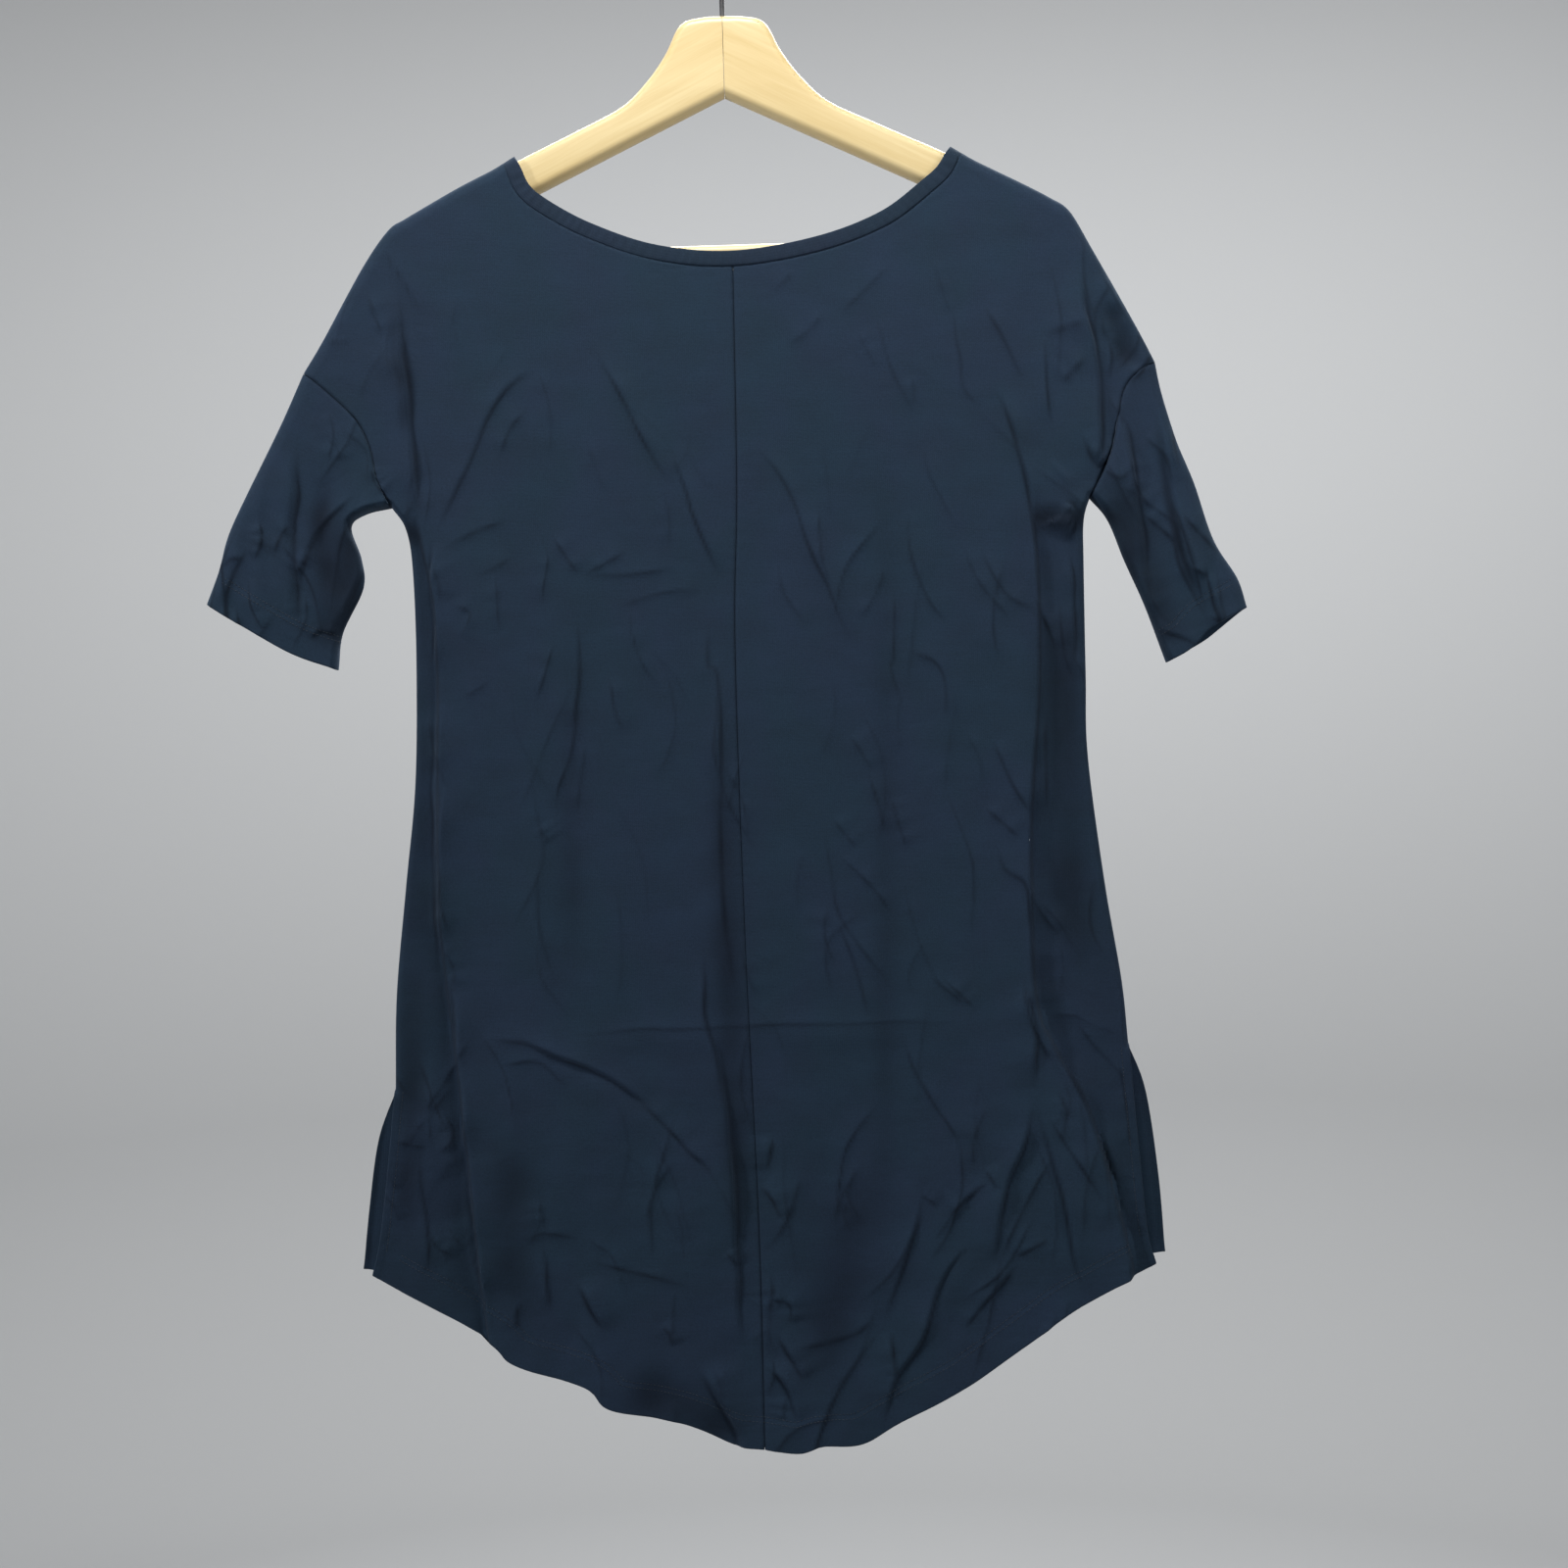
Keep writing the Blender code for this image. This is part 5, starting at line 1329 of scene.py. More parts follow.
def jersey_finish(name, colour, shade, sheen):
    """Matte knitted jersey: two close tones in rows, painted crease shade, fine knit relief, a little fuzz.
    """
    cloth = Finish(name, colour)
    place = cloth.add("ShaderNodeUVMap", {"uv_map": "cloth"}).outputs["UV"]
    rows = cloth.noise(cloth.stretched(place, (34, 900, 1)), Detail=3.0, Roughness=0.6)
    patches = cloth.noise(cloth.stretched(place, (26, 44, 1)), Detail=4.0, Roughness=0.55)
    speckle = cloth.noise(cloth.stretched(place, (620, 1000, 1)), Detail=2.0)
    tone = cloth.sum_of((rows, 0.26), (patches, 0.5), (speckle, 0.6))
    toned = cloth.ramp(tone, times_each(colour, 1 - shade), times_each(colour, 1 + shade), 0.52, 0.84)
    hue = cloth.noise(cloth.stretched(place, (13, 9, 1)), Detail=3.0, Roughness=0.6)
    tinted = cloth.tinted(toned, 1.0, cloth.ramp(hue, (0.93, 1.02, 0.98), (1.05, 0.98, 1.03), 0.4, 0.6))
    # Painted shade: the crease attribute multiplies the colour towards the shade tint
    painted_crease_shade = cloth.add("ShaderNodeAttribute", {"attribute_name": "crease"}).outputs["Fac"]
    cloth.look(Base_Color=cloth.tinted(tinted, painted_crease_shade, (*PAINTED_SHADE_TINT, 1)))
    loops = cloth.waves(place, "X", Scale=270.0, Distortion=1.2, Detail=1.0, Detail_Scale=420.0)
    courses = cloth.waves(place, "Y", Scale=380.0, Distortion=1.6, Detail=1.0, Detail_Scale=300.0)
    handled_here = cloth.add("ShaderNodeAttribute", {"attribute_name": "handled"}).outputs["Fac"]
    crumple = cloth.noise(place, Scale=64.0, Detail=3.0, Roughness=0.5, Distortion=0.4)
    cloth.relief(
        (cloth.times(loops, courses), 0.5, 0.00016),
        (speckle, 0.35, 0.00022),
        (rows, 0.12, 0.0003),
        (cloth.times(crumple, handled_here), 1.0, 0.0008),
    )
    cloth.rough(patches, 0.84, 0.97)
    cloth.look(Specular_IOR_Level=0.18, Sheen_Weight=sheen, Sheen_Roughness=0.55)
    cloth.look(Sheen_Tint=(0.45, 0.66, 0.95, 1))
    return cloth.made


def thread_finish(name, colour):
    """Sewing thread: two plies that wind round the stitch."""
    thread = Finish(name, colour)
    plies = thread.waves(thread.on_piece(), "DIAGONAL", Scale=900.0, Distortion=0.4)
    thread.look(Base_Color=thread.ramp(plies, times_each(colour, 0.7), times_each(colour, 1.3)))
    thread.relief((plies, 0.5, 0.0001))
    thread.look(Roughness=0.6, Sheen_Weight=0.1)
    return thread.made


def wood_finish(name, colour, turn):
    """Pale varnished wood whose grain runs along the piece."""
    wood = Finish(name, colour)
    lengthways = wood.stretched(wood.on_piece(), (1, 1, 1), turn)
    grain = wood.noise(wood.stretched(lengthways, (9, 90, 260)), Detail=5.0, Roughness=0.62, Distortion=0.35)
    figure = wood.noise(wood.stretched(lengthways, (3.2, 14, 34)), Detail=2.0, Distortion=0.8)
    pores = wood.noise(wood.stretched(lengthways, (60, 700, 2600)), Detail=2.0)
    tone = wood.sum_of((figure, 0.45), (grain, 0.45), (pores, 0.1))
    dark, light = times_each(colour, 0.86, 0.78, 0.64), times_each(colour, 1.06)
    wood.look(Base_Color=wood.ramp(tone, dark, light, 0.36, 0.66))
    wood.relief((grain, 0.12, 0.0002))
    wood.rough(grain, 0.34, 0.52)
    wood.look(Coat_Weight=0.18, Coat_Roughness=0.3)
    return wood.made


def steel_finish(name, colour):
    """Plated steel wire with fine drawing marks along it."""
    steel = Finish(name, colour)
    marks = steel.noise(steel.stretched(steel.on_piece(), (900, 900, 120)), Detail=3.0)
    steel.look(Base_Color=steel.ramp(marks, times_each(colour, 0.7), times_each(colour, 1.25)))
    steel.rough(marks, 0.2, 0.36)
    steel.relief((marks, 0.1, 0.0001))
    steel.look(Metallic=1.0)
    return steel.made


def wall_finish(name, colour):
    """Matte paint."""
    paint = Finish(name, colour)
    paint.relief((paint.noise(paint.on_piece(), Scale=260.0, Detail=3.0), 0.1, 0.0004))
    paint.look(Base_Color=(*colour, 1), Roughness=0.9)
    return paint.made


def named_finish(name, make, *facts):
    """The finish of this name, made the first time it is asked for."""
    return bpy.data.materials.get(name) or make(name, *facts)


def length_setting(name, description, millimetres):
    metres = millimetres * MM
    return bpy.props.FloatProperty(name=name, description=description, default=metres, unit="LENGTH")


def colour_setting(name, description, colour):
    return bpy.props.FloatVectorProperty(name=name, description=description, default=colour, subtype="COLOR")


def power_setting(name, description, watts):
    return bpy.props.FloatProperty(name=name, description=description, default=watts, unit="POWER")


class ClothSettings(bpy.types.PropertyGroup):
    """Sizes and colours of the blouse."""

    wall: length_setting("Cloth thickness", "Thickness of the jersey", 1.1)
    band_thickness: length_setting("Band thickness", "Thickness of the folded neck band", 2.2)
    stitch_pitch: length_setting("Stitch pitch", "From one hem stitch to the next", 2.3)
    stitch_length: length_setting("Stitch length", "Length of a hem stitch that shows", 1.7)
    thread: length_setting("Thread", "Thickness of the sewing thread", 0.34)
    jersey: colour_setting("Jersey colour", "Colour of the body", (0.0121, 0.0254, 0.0475))
    band: colour_setting("Band colour", "Colour of the neck band", (0.0120, 0.0225, 0.0415))
    thread_colour: colour_setting("Thread colour", "Colour of the stitches", (0.0095, 0.0185, 0.033))
    sheen: bpy.props.FloatProperty(
        name="Sheen", description="Light that the fuzz of the jersey catches", default=0.12, min=0, max=1
    )


class HangerSettings(bpy.types.PropertyGroup):
    """Sizes and colours of the hanger."""

    wood: colour_setting("Wood colour", "Colour of the arms and the bar", (0.72, 0.59, 0.335))
    steel: colour_setting("Wire colour", "Colour of the hook", (0.33, 0.33, 0.34))
    edge_steps: bpy.props.IntProperty(
        name="Edge steps", description="Steps round the edge of an arm", default=7, min=2
    )


class StudioSettings(bpy.types.PropertyGroup):
    """The plain studio round the blouse."""

    wall: colour_setting("Wall colour", "Colour of the floor and wall", (0.29, 0.295, 0.30))
    key_power: power_setting("Key light", "Power of the light above the camera", 12.8)
    side_power: power_setting("Side light", "Power of the soft light on the right", 8.0)
    left_power: power_setting("Left light", "Power of the light that grazes the cloth from the left", 36.0)
    back_power: power_setting("Back light", "Power of the light on the far side", 8.0)
    wall_power: power_setting("Wall light", "Power of the light on the wall behind", 148.0)
    fill: bpy.props.FloatProperty(
        name="Fill", description="Strength of the light all round", default=0.06, min=0
    )
    camera_roll: bpy.props.FloatProperty(
        name="Camera roll", description="How far the camera leans",
        default=float(np.radians(1.75)), subtype="ANGLE",
    )


def jersey_of(settings):
    return named_finish("navy jersey", jersey_finish, settings.jersey, 0.16, settings.sheen)


def map_of(points):
    """The cloth map of a shell whose outer points lie here when flat."""
    return np.vstack([points.reshape(-1, 2), every_step(points).reshape(-1, 2)])


def add_standing(node, suffix, mesh, finish):
    """Puts a finished mesh in the scene in the place of a node."""
    piece = add_piece(node + suffix, mesh, finish)
    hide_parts(node)
    return piece


def allowance_points(side, layer, line, offsets, wall):
    """A strip's points along a seam, under the cloth, at these offsets to the left of the line."""
    even = along(line, np.linspace(0, 1, 2 + int(length_of(line) / 3)))
    points = np.stack([moved_left(even, offset) for offset in offsets])
    folds = lowest_near(creases_on(points, layer, "body")[0], 2) - SEAM_ROLL
    inside = depth(side, points, layer, folds) - wall - ALLOWANCE_CLEARANCE
    return np.stack([points[..., 0], LAYER_SIGN[layer] * inside, points[..., 1]], axis=-1)


def add_allowance(name, points, finish):
    """A doubled strip of seam allowance, pressed flat inside the cloth."""
    mesh = mesh_of(name, points, grid_faces(*points.shape[:2]))
    if sum(face.normal.y * np.sign(face.center.y) for face in mesh.polygons) < 0:
        mesh.flip_normals()
    write_map(mesh, points.reshape(-1, 3)[:, [0, 2]])
    mesh.shade_smooth()
    piece = add_piece(name, mesh, finish)
    wall = piece.modifiers.new("doubled cloth", "SOLIDIFY")
    wall.thickness = ALLOWANCE_THICKNESS * MM
    wall.offset = -1


class BLOUSE_OT_seam_allowances(bpy.types.Operator):
    """Lay the seam allowances inside the centre back, neck and armhole seams"""

    bl_idname = "blouse.seam_allowances"
    bl_label = "Seam allowances"

    def execute(self, context):
        settings = context.scene.blouse_cloth
        wall, finish = settings.wall / MM, jersey_of(settings)
        both_ways = np.linspace(-ALLOWANCE_WIDTH, ALLOWANCE_WIDTH, 7)
        centre = along(smooth(CENTRE_BACK), np.linspace(0.004, 0.9985, 240))
        points = allowance_points(RIGHT, "back", centre, both_ways, wall)
        add_allowance("centre_back_allowance", points, finish)
        for half, side in SIDES:
            for layer in LAYERS:
                inwards = side.sign * np.linspace(0.45, -ALLOWANCE_WIDTH, 5)
                neck = along(half_neck(NECK_SEAM[layer], side), np.linspace(0, 0.88, 60))
                points = allowance_points(side, layer, neck, inwards, wall)
                add_allowance(f"neck_{layer}_{half}_allowance", points, finish)
                armhole = along(side.armhole, np.linspace(0.06, 0.94, 40))
                points = allowance_points(side, layer, armhole, both_ways * 0.8, wall)
                add_allowance(f"armhole_{layer}_{half}_allowance", points, finish)
        return {"FINISHED"}


class BLOUSE_OT_back_panels(bpy.types.Operator):
    """Build the two back panels, joined by a seam down the centre back"""

    bl_idname = "blouse.back_panels"
    bl_label = "Back panels"

    def execute(self, context):
        settings = context.scene.blouse_cloth
        for half, side in SIDES:
            points = panel_points(side, "back")
            fade = np.clip(1 - np.arange(points.shape[1]) / 12, 0, 1)
            points[..., 0] += side.sign * SEAM_GAP / 2 * fade
            outer, inner, shades = layer_of_cloth(side, points, "back", "body", settings.wall / MM)
            mesh = shell_mesh(f"back_{half}_jersey", outer, every_step(inner), map_of(points), shades)
            piece = add_standing("back_" + half, "_jersey", mesh, jersey_of(settings))
        return {"FINISHED"}


class BLOUSE_OT_front_panel(bpy.types.Operator):
    """Build the front panel, cut in one piece"""

    bl_idname = "blouse.front_panel"
    bl_label = "Front panel"

    def execute(self, context):
        settings = context.scene.blouse_cloth
        halves = []
        for _, side in SIDES:
            points = panel_points(side, "front")
            halves.append((points, *layer_of_cloth(side, points, "front", "body", settings.wall / MM)))

        def spread(left, right):
            middle = (left[:, :1] + right[:, :1]) / 2
            return np.concatenate([left[:, :0:-1], middle, right[:, 1:]], axis=1)

        points, outer, inner = (spread(left, right) for left, right in list(zip(*halves))[:3])
        left_shades, right_shades = halves[0][3], halves[1][3]
        shades = {fact: spread(left_shades[fact], right_shades[fact]) for fact in left_shades}
        mesh = shell_mesh("front_jersey", outer, every_step(inner), map_of(points), shades)
        piece = add_standing("front", "_jersey", mesh, jersey_of(settings))
        return {"FINISHED"}


class BLOUSE_OT_sleeves(bpy.types.Operator):
    """Build the two short sleeves as open tubes"""

    bl_idname = "blouse.sleeves"
    bl_label = "Sleeves"

    def execute(self, context):
        settings = context.scene.blouse_cloth
        wall = settings.wall / MM
        for half, side in SIDES:
            near_points, far_points = sleeve_points(side, "back"), sleeve_points(side, "front")
            near_outer, near_inner, near_shades = layer_of_cloth(side, near_points, "back", "sleeve", wall)
            far_outer, far_inner, far_shades = layer_of_cloth(side, far_points, "front", "sleeve", wall)

            def ring(near, far):
                joined_ring = np.concatenate([near, far[:, -2:0:-1]], axis=1)
                if joined_ring.shape[-1] == 3:
                    joined_ring[:, 0, 1] = joined_ring[:, near.shape[1] - 1, 1] = 0
                return joined_ring

            outer, inner = ring(near_outer, far_outer), ring(near_inner, far_inner)
            points = ring(near_points, far_points)
            run = side.fold[-1] - side.fold[0]
            run = run / np.linalg.norm(run)
            turned = np.stack([points @ np.array([run[1], -run[0]]), points @ run], axis=-1)
            shades = {fact: ring(near_shades[fact], far_shades[fact]) for fact in near_shades}
            name = f"sleeve_{half}_jersey"
            mesh = shell_mesh(name, outer, every_step(inner), map_of(turned), shades, closed=True)
            piece = add_standing("sleeve_" + half, "_jersey", mesh, jersey_of(settings))
        return {"FINISHED"}


def band_line(side, layer):
    """Places along half of the neck seam and the way to the band's free edge, centre first."""
    line = half_neck(NECK_SEAM[layer], side)
    shares = np.linspace(0, 1, 1 + int(length_of(line) / 0.9))
    seam = along(line, shares)
    inwards = moved_left(seam, side.sign) - seam
    near_shoulder = np.exp(-(((1 - shares) * length_of(line) / 7) ** 2))[:, None]
    inwards = inwards + near_shoulder * (side.band_run - inwards)
    inwards /= np.linalg.norm(inwards, axis=1)[:, None]
    width = BAND_WIDTH + (BAND_WIDTH_AT_SHOULDER - BAND_WIDTH) * near_shoulder
    return seam, inwards, width


def band_quarter(side, layer, thickness):
    """The points of a quarter of the band: sections in rows round the folded cloth."""
    seam, inwards, width = band_line(side, layer)
    turn = np.linspace(0, np.pi, 12)
    share, plump = 0.5 - 0.5 * np.cos(turn), np.sin(turn) ** 0.45 * thickness / 2
    position = np.concatenate([[0], np.cumsum(np.linalg.norm(np.diff(seam, axis=0), axis=1))])
    gathers = 0.16 * np.sin(2 * np.pi * position / 6.3 + 2 * np.sin(position / 17))
    gathers += 0.1 * np.sin(position / 3.1)
    steps = len(turn)
    rows = []
    for outwards, order in ((1, range(steps)), (-1, range(steps - 2, 0, -1))):
        for step in order:
            points = seam + inwards * (share[step] * (width + BAND_OVERLAP) - BAND_OVERLAP)
            base = depth(side, points, layer, np.zeros(len(points))) + BAND_PROUD - thickness / 2
            wave = gathers * np.sin(np.pi * share[step])
            away = np.maximum(base + (plump[step] + wave) * outwards, 0.2)
            rows.append(np.column_stack([points[:, 0], LAYER_SIGN[layer] * away, points[:, 1]]))
    return np.array(rows)


class BLOUSE_OT_neck_band(bpy.types.Operator):
    """Build the neck band, a folded strip that goes all round the neck"""

    bl_idname = "blouse.neck_band"
    bl_label = "Neck band"

    def execute(self, context):
        settings = context.scene.blouse_cloth
        thickness = settings.band_thickness / MM
        finish = named_finish("navy jersey band", jersey_finish, settings.band, 0.14, settings.sheen)
        quarters = {}
        for half, side in SIDES:
            for layer in LAYERS:
                quarters[layer, half] = band_quarter(side, layer, thickness)
                quarters[layer, half][:, -1, 1] = 0
                quarters[layer, half][:, -1, 2] += BAND_PROUD
        left_half = (quarters["back", "left"], quarters["front", "left"][:, -2::-1])
        right_half = (quarters["front", "right"][:, 1:], quarters["back", "right"][:, -2:0:-1])
        ring = np.concatenate([*left_half, *right_half], axis=1)
        round_rows, columns = ring.shape[:2]
        numbers = np.arange(round_rows * columns).reshape(round_rows, columns)
        around = np.vstack([numbers, numbers[:1]])
        around = np.hstack([around, around[:, :1]])
        faces = np.stack([around[:-1, :-1], around[:-1, 1:], around[1:, 1:], around[1:, :-1]], axis=-1)
        mesh = mesh_of("neck_band_jersey", ring, faces.reshape(-1, 4).tolist())
        steps = np.linalg.norm(np.diff(ring.mean(axis=0), axis=0), axis=1)
        lengthways = np.concatenate([[0], np.cumsum(steps)])
        rise = np.linspace(0, 2 * BAND_WIDTH, round_rows)
        places = np.stack(np.meshgrid(rise, lengthways, indexing="ij"), axis=-1).reshape(-1, 2)
        write_map(mesh, places)
        face_outwards(mesh)
        mesh.shade_smooth()
        piece = add_standing("neck_band", "_jersey", mesh, finish)
        return {"FINISHED"}


def stitch_tree():
    """A node tree that sets a stitch at even steps along every edge it is given."""
    tree = bpy.data.node_groups.new("hem stitches", "GeometryNodeTree")
    inputs = {"Pitch": "Float", "Length": "Float", "Thread": "Float", "Seed": "Int", "Finish": "Material"}
    for name, kind in {"Geometry": "Geometry", **inputs}.items():
        tree.interface.new_socket(name, in_out="INPUT", socket_type="NodeSocket" + kind)
    tree.interface.new_socket("Geometry", in_out="OUTPUT", socket_type="NodeSocketGeometry")

    def add(kind, settings=None, **inputs):
        return add_node(tree, kind, settings, **inputs).outputs

    given = add("NodeGroupInput")
    path = add("GeometryNodeMeshToCurve", Mesh=given["Geometry"])["Curve"]
    even = add("GeometryNodeResampleCurve", {"mode": "LENGTH"}, Curve=path, Length=given["Pitch"])["Curve"]
    run = add("GeometryNodeInputTangent")["Tangent"]
    turn = add("FunctionNodeAlignRotationToVector", {"axis": "X"}, Vector=run)["Rotation"]
    bead = add("GeometryNodeMeshUVSphere", Segments=6, Rings=4, Radius=0.5)["Mesh"]
    vary = add("FunctionNodeRandomValue", {"data_type": "FLOAT"}, Min=0.82, Max=1.12, Seed=given["Seed"])[1]
    longer = add("ShaderNodeMath", {"operation": "MULTIPLY"}, i0=given["Length"], i1=vary)[0]
    size = add("ShaderNodeCombineXYZ", X=longer, Y=given["Thread"], Z=given["Thread"])["Vector"]
    placed = add("GeometryNodeInstanceOnPoints", Points=even, Instance=bead, Rotation=turn, Scale=size)
    real = add("GeometryNodeRealizeInstances", Geometry=placed["Instances"])["Geometry"]
    soft = add("GeometryNodeSetShadeSmooth", Geometry=real)["Geometry"]
    finished = add("GeometryNodeSetMaterial", Geometry=soft, Material=given["Finish"])["Geometry"]
    add("NodeGroupOutput", Geometry=finished)
    return tree


def with_nodes(holder, tree, **values):
    """The plain mesh that a node tree makes on an object, which is then removed."""
    modifier = holder.modifiers.new(tree.name, "NODES")
    modifier.node_group = tree
    sockets = {item.name: item.identifier for item in tree.interface.items_tree if item.in_out == "INPUT"}
    for name, value in values.items():
        modifier[sockets[name]] = value
    bpy.context.view_layer.update()
    graph = bpy.context.evaluated_depsgraph_get()
    mesh = bpy.data.meshes.new_from_object(holder.evaluated_get(graph))
    bpy.data.objects.remove(holder)
    return mesh


def stitch_line(side, layer, part, line, offset, inwards, first, last):
    """The x, y, z points of a line of stitches at an offset from an edge, on the cloth's surface."""
    even = along(line, np.linspace(0, 1, 2 + int(length_of(line) / 1.6)))
    for _ in range(6):
        even[1:-1] = (even[:-2] + 2 * even[1:-1] + even[2:]) / 4
    moved = moved_left(even, inwards * offset)[int(first * len(even)) : int(last * len(even))]
    folds = creases_on(moved, layer, part)[0] + seams_on(side, moved, layer, part)
    points = standing(side, moved, layer, folds)
    points[:, 1] += LAYER_SIGN[layer] * STITCH_PROUD
    return points


def path_object(name, lines):
    """An object of plain edges, one chain for each line of points."""
    points, edges, first = [], [], 0
    for line in lines:
        points.append(line * MM)
        edges += [(first + step, first + step + 1) for step in range(len(line) - 1)]
        first += len(line)
    mesh = bpy.data.meshes.new(name)
    mesh.from_pydata(np.vstack(points).tolist(), edges, [])
    made = bpy.data.objects.new(name, mesh)
    bpy.context.scene.collection.objects.link(made)
    return made


class BLOUSE_OT_stitching(bpy.types.Operator):
    """Sew the twin rows of stitches round the hem, the slits and the cuffs"""

    bl_idname = "blouse.stitching"
    bl_label = "Stitching"

    def execute(self, context):
        settings = context.scene.blouse_cloth
        finish = named_finish("navy thread", thread_finish, settings.thread_colour)
        lines = []
        for _, side in SIDES:
            for layer in LAYERS:
                hem, cuff, slit = side.hem[layer], side.cuff[layer], side.slit[layer]
                for offset in (HEM_HEIGHT - TWIN_NEEDLE_GAP / 2, HEM_HEIGHT + TWIN_NEEDLE_GAP / 2):
                    lines.append(stitch_line(side, layer, "body", hem, offset, side.sign, 0.004, 0.965))
                    lines.append(stitch_line(side, layer, "sleeve", cuff, offset, -side.sign, 0.05, 0.95))
                lines.append(stitch_line(side, layer, "body", slit, SLIT_HEM_WIDTH, -side.sign, 0.02, 0.86))
        sizes = {"Pitch": settings.stitch_pitch, "Length": settings.stitch_length, "Thread": settings.thread}
        holder = path_object("stitch paths", lines)
        mesh = with_nodes(holder, stitch_tree(), Seed=7, Finish=finish, **sizes)
        piece = add_piece("hem_stitches", mesh, finish)
        return {"FINISHED"}


def hanger_outline():
    """The outline of both arms, x and z, as one closed line."""
    top = along(smooth(ARM_TOP), np.linspace(0, 1, 110))
    foot = np.array([place[1:] for place in ARM_FOOT])
    underside = along(smooth(ARM_UNDERSIDE), np.linspace(0, 1, 26))
    right = np.vstack([top, foot, underside[1:]])
    return np.vstack([right, right[-2:0:-1] * (-1, 1)])


def welded_copy(curve_object):
    """A curve object's shape as a mesh with its caps welded on."""
    graph = bpy.context.evaluated_depsgraph_get()
    mesh = bpy.data.meshes.new_from_object(curve_object.evaluated_get(graph))
    shape = bmesh.new()
    shape.from_mesh(mesh)
    shape.transform(curve_object.matrix_world)
    bmesh.ops.remove_doubles(shape, verts=shape.verts, dist=0.005 * MM)
    shape.to_mesh(mesh)
    shape.free()
    bpy.data.objects.remove(curve_object)
    return mesh


def hanger_blank(edge_steps):
    """Both arms in one, with rounded edges."""
    curve = bpy.data.curves.new("hanger outline", "CURVE")
    curve.dimensions = "2D"
    curve.fill_mode = "BOTH"
    curve.extrude = (ARM_THICKNESS / 2 - ARM_EDGE_ROUND) * MM
    curve.bevel_depth = ARM_EDGE_ROUND * MM
    curve.offset = -ARM_EDGE_ROUND * MM
    curve.bevel_resolution = edge_steps
    outline = hanger_outline()
    spline = curve.splines.new("POLY")
    spline.points.add(len(outline) - 1)
    for point, (x, z) in zip(spline.points, outline):
        point.co = (x * MM, z * MM, 0, 1)
    spline.use_cyclic_u = True
    blank = bpy.data.objects.new("hanger outline", curve)
    blank.rotation_euler.x = np.pi / 2
    bpy.context.scene.collection.objects.link(blank)
    bpy.context.view_layer.update()
    return welded_copy(blank)


def ringed_mesh(name, rings, sharp=180, capped=False, inwards=False):
    """A smooth mesh through rings of points in millimetres. A ring of one point closes an end."""
    shape = bmesh.new()
    rings = [[shape.verts.new(np.array(point, float) * MM) for point in ring] for ring in rings]
    for here, after in zip(rings, rings[1:]):
        for step in range(max(len(here), len(after))):
            near, far = [(ring[step % len(ring)], ring[(step + 1) % len(ring)]) for ring in (here, after)]
            shape.faces.new(list(dict.fromkeys((*near, *far[::-1]))))
    if capped:
        for ring in (rings[0], rings[-1]):
            shape.faces.new(ring)
    turn_faces = bmesh.ops.reverse_faces if inwards else bmesh.ops.recalc_face_normals
    turn_faces(shape, faces=shape.faces)
    mesh = bpy.data.meshes.new(name)
    shape.to_mesh(mesh)
    shape.free()
    mesh.shade_smooth()
    mesh.set_sharp_from_angle(angle=np.radians(sharp))
    return mesh


def round_cutter(name, radius, start, end):
    """A round cutter between two points that lie along x or along z."""
    start, end = np.array(start, float), np.array(end, float)
    bpy.ops.mesh.primitive_cylinder_add(
        vertices=48, radius=radius * MM, depth=np.linalg.norm(end - start) * MM
    )
    cutter = bpy.context.object
    cutter.name = name
    cutter.location = (start + end) / 2 * MM
    if start[0] != end[0]:
        cutter.rotation_euler.y = np.pi / 2
    return cutter


def cut_mesh(piece, cutters):
    """Cuts the cutters out of a piece and removes them."""
    for cutter in cutters:
        bore = piece.modifiers.new(cutter.name, "BOOLEAN")
        bore.operation = "DIFFERENCE"
        bore.object = cutter
    bpy.context.view_layer.update()
    graph = bpy.context.evaluated_depsgraph_get()
    mesh = bpy.data.meshes.new_from_object(piece.evaluated_get(graph))
    piece.modifiers.clear()
    piece.data = mesh
    for cutter in cutters:
        bpy.data.objects.remove(cutter)


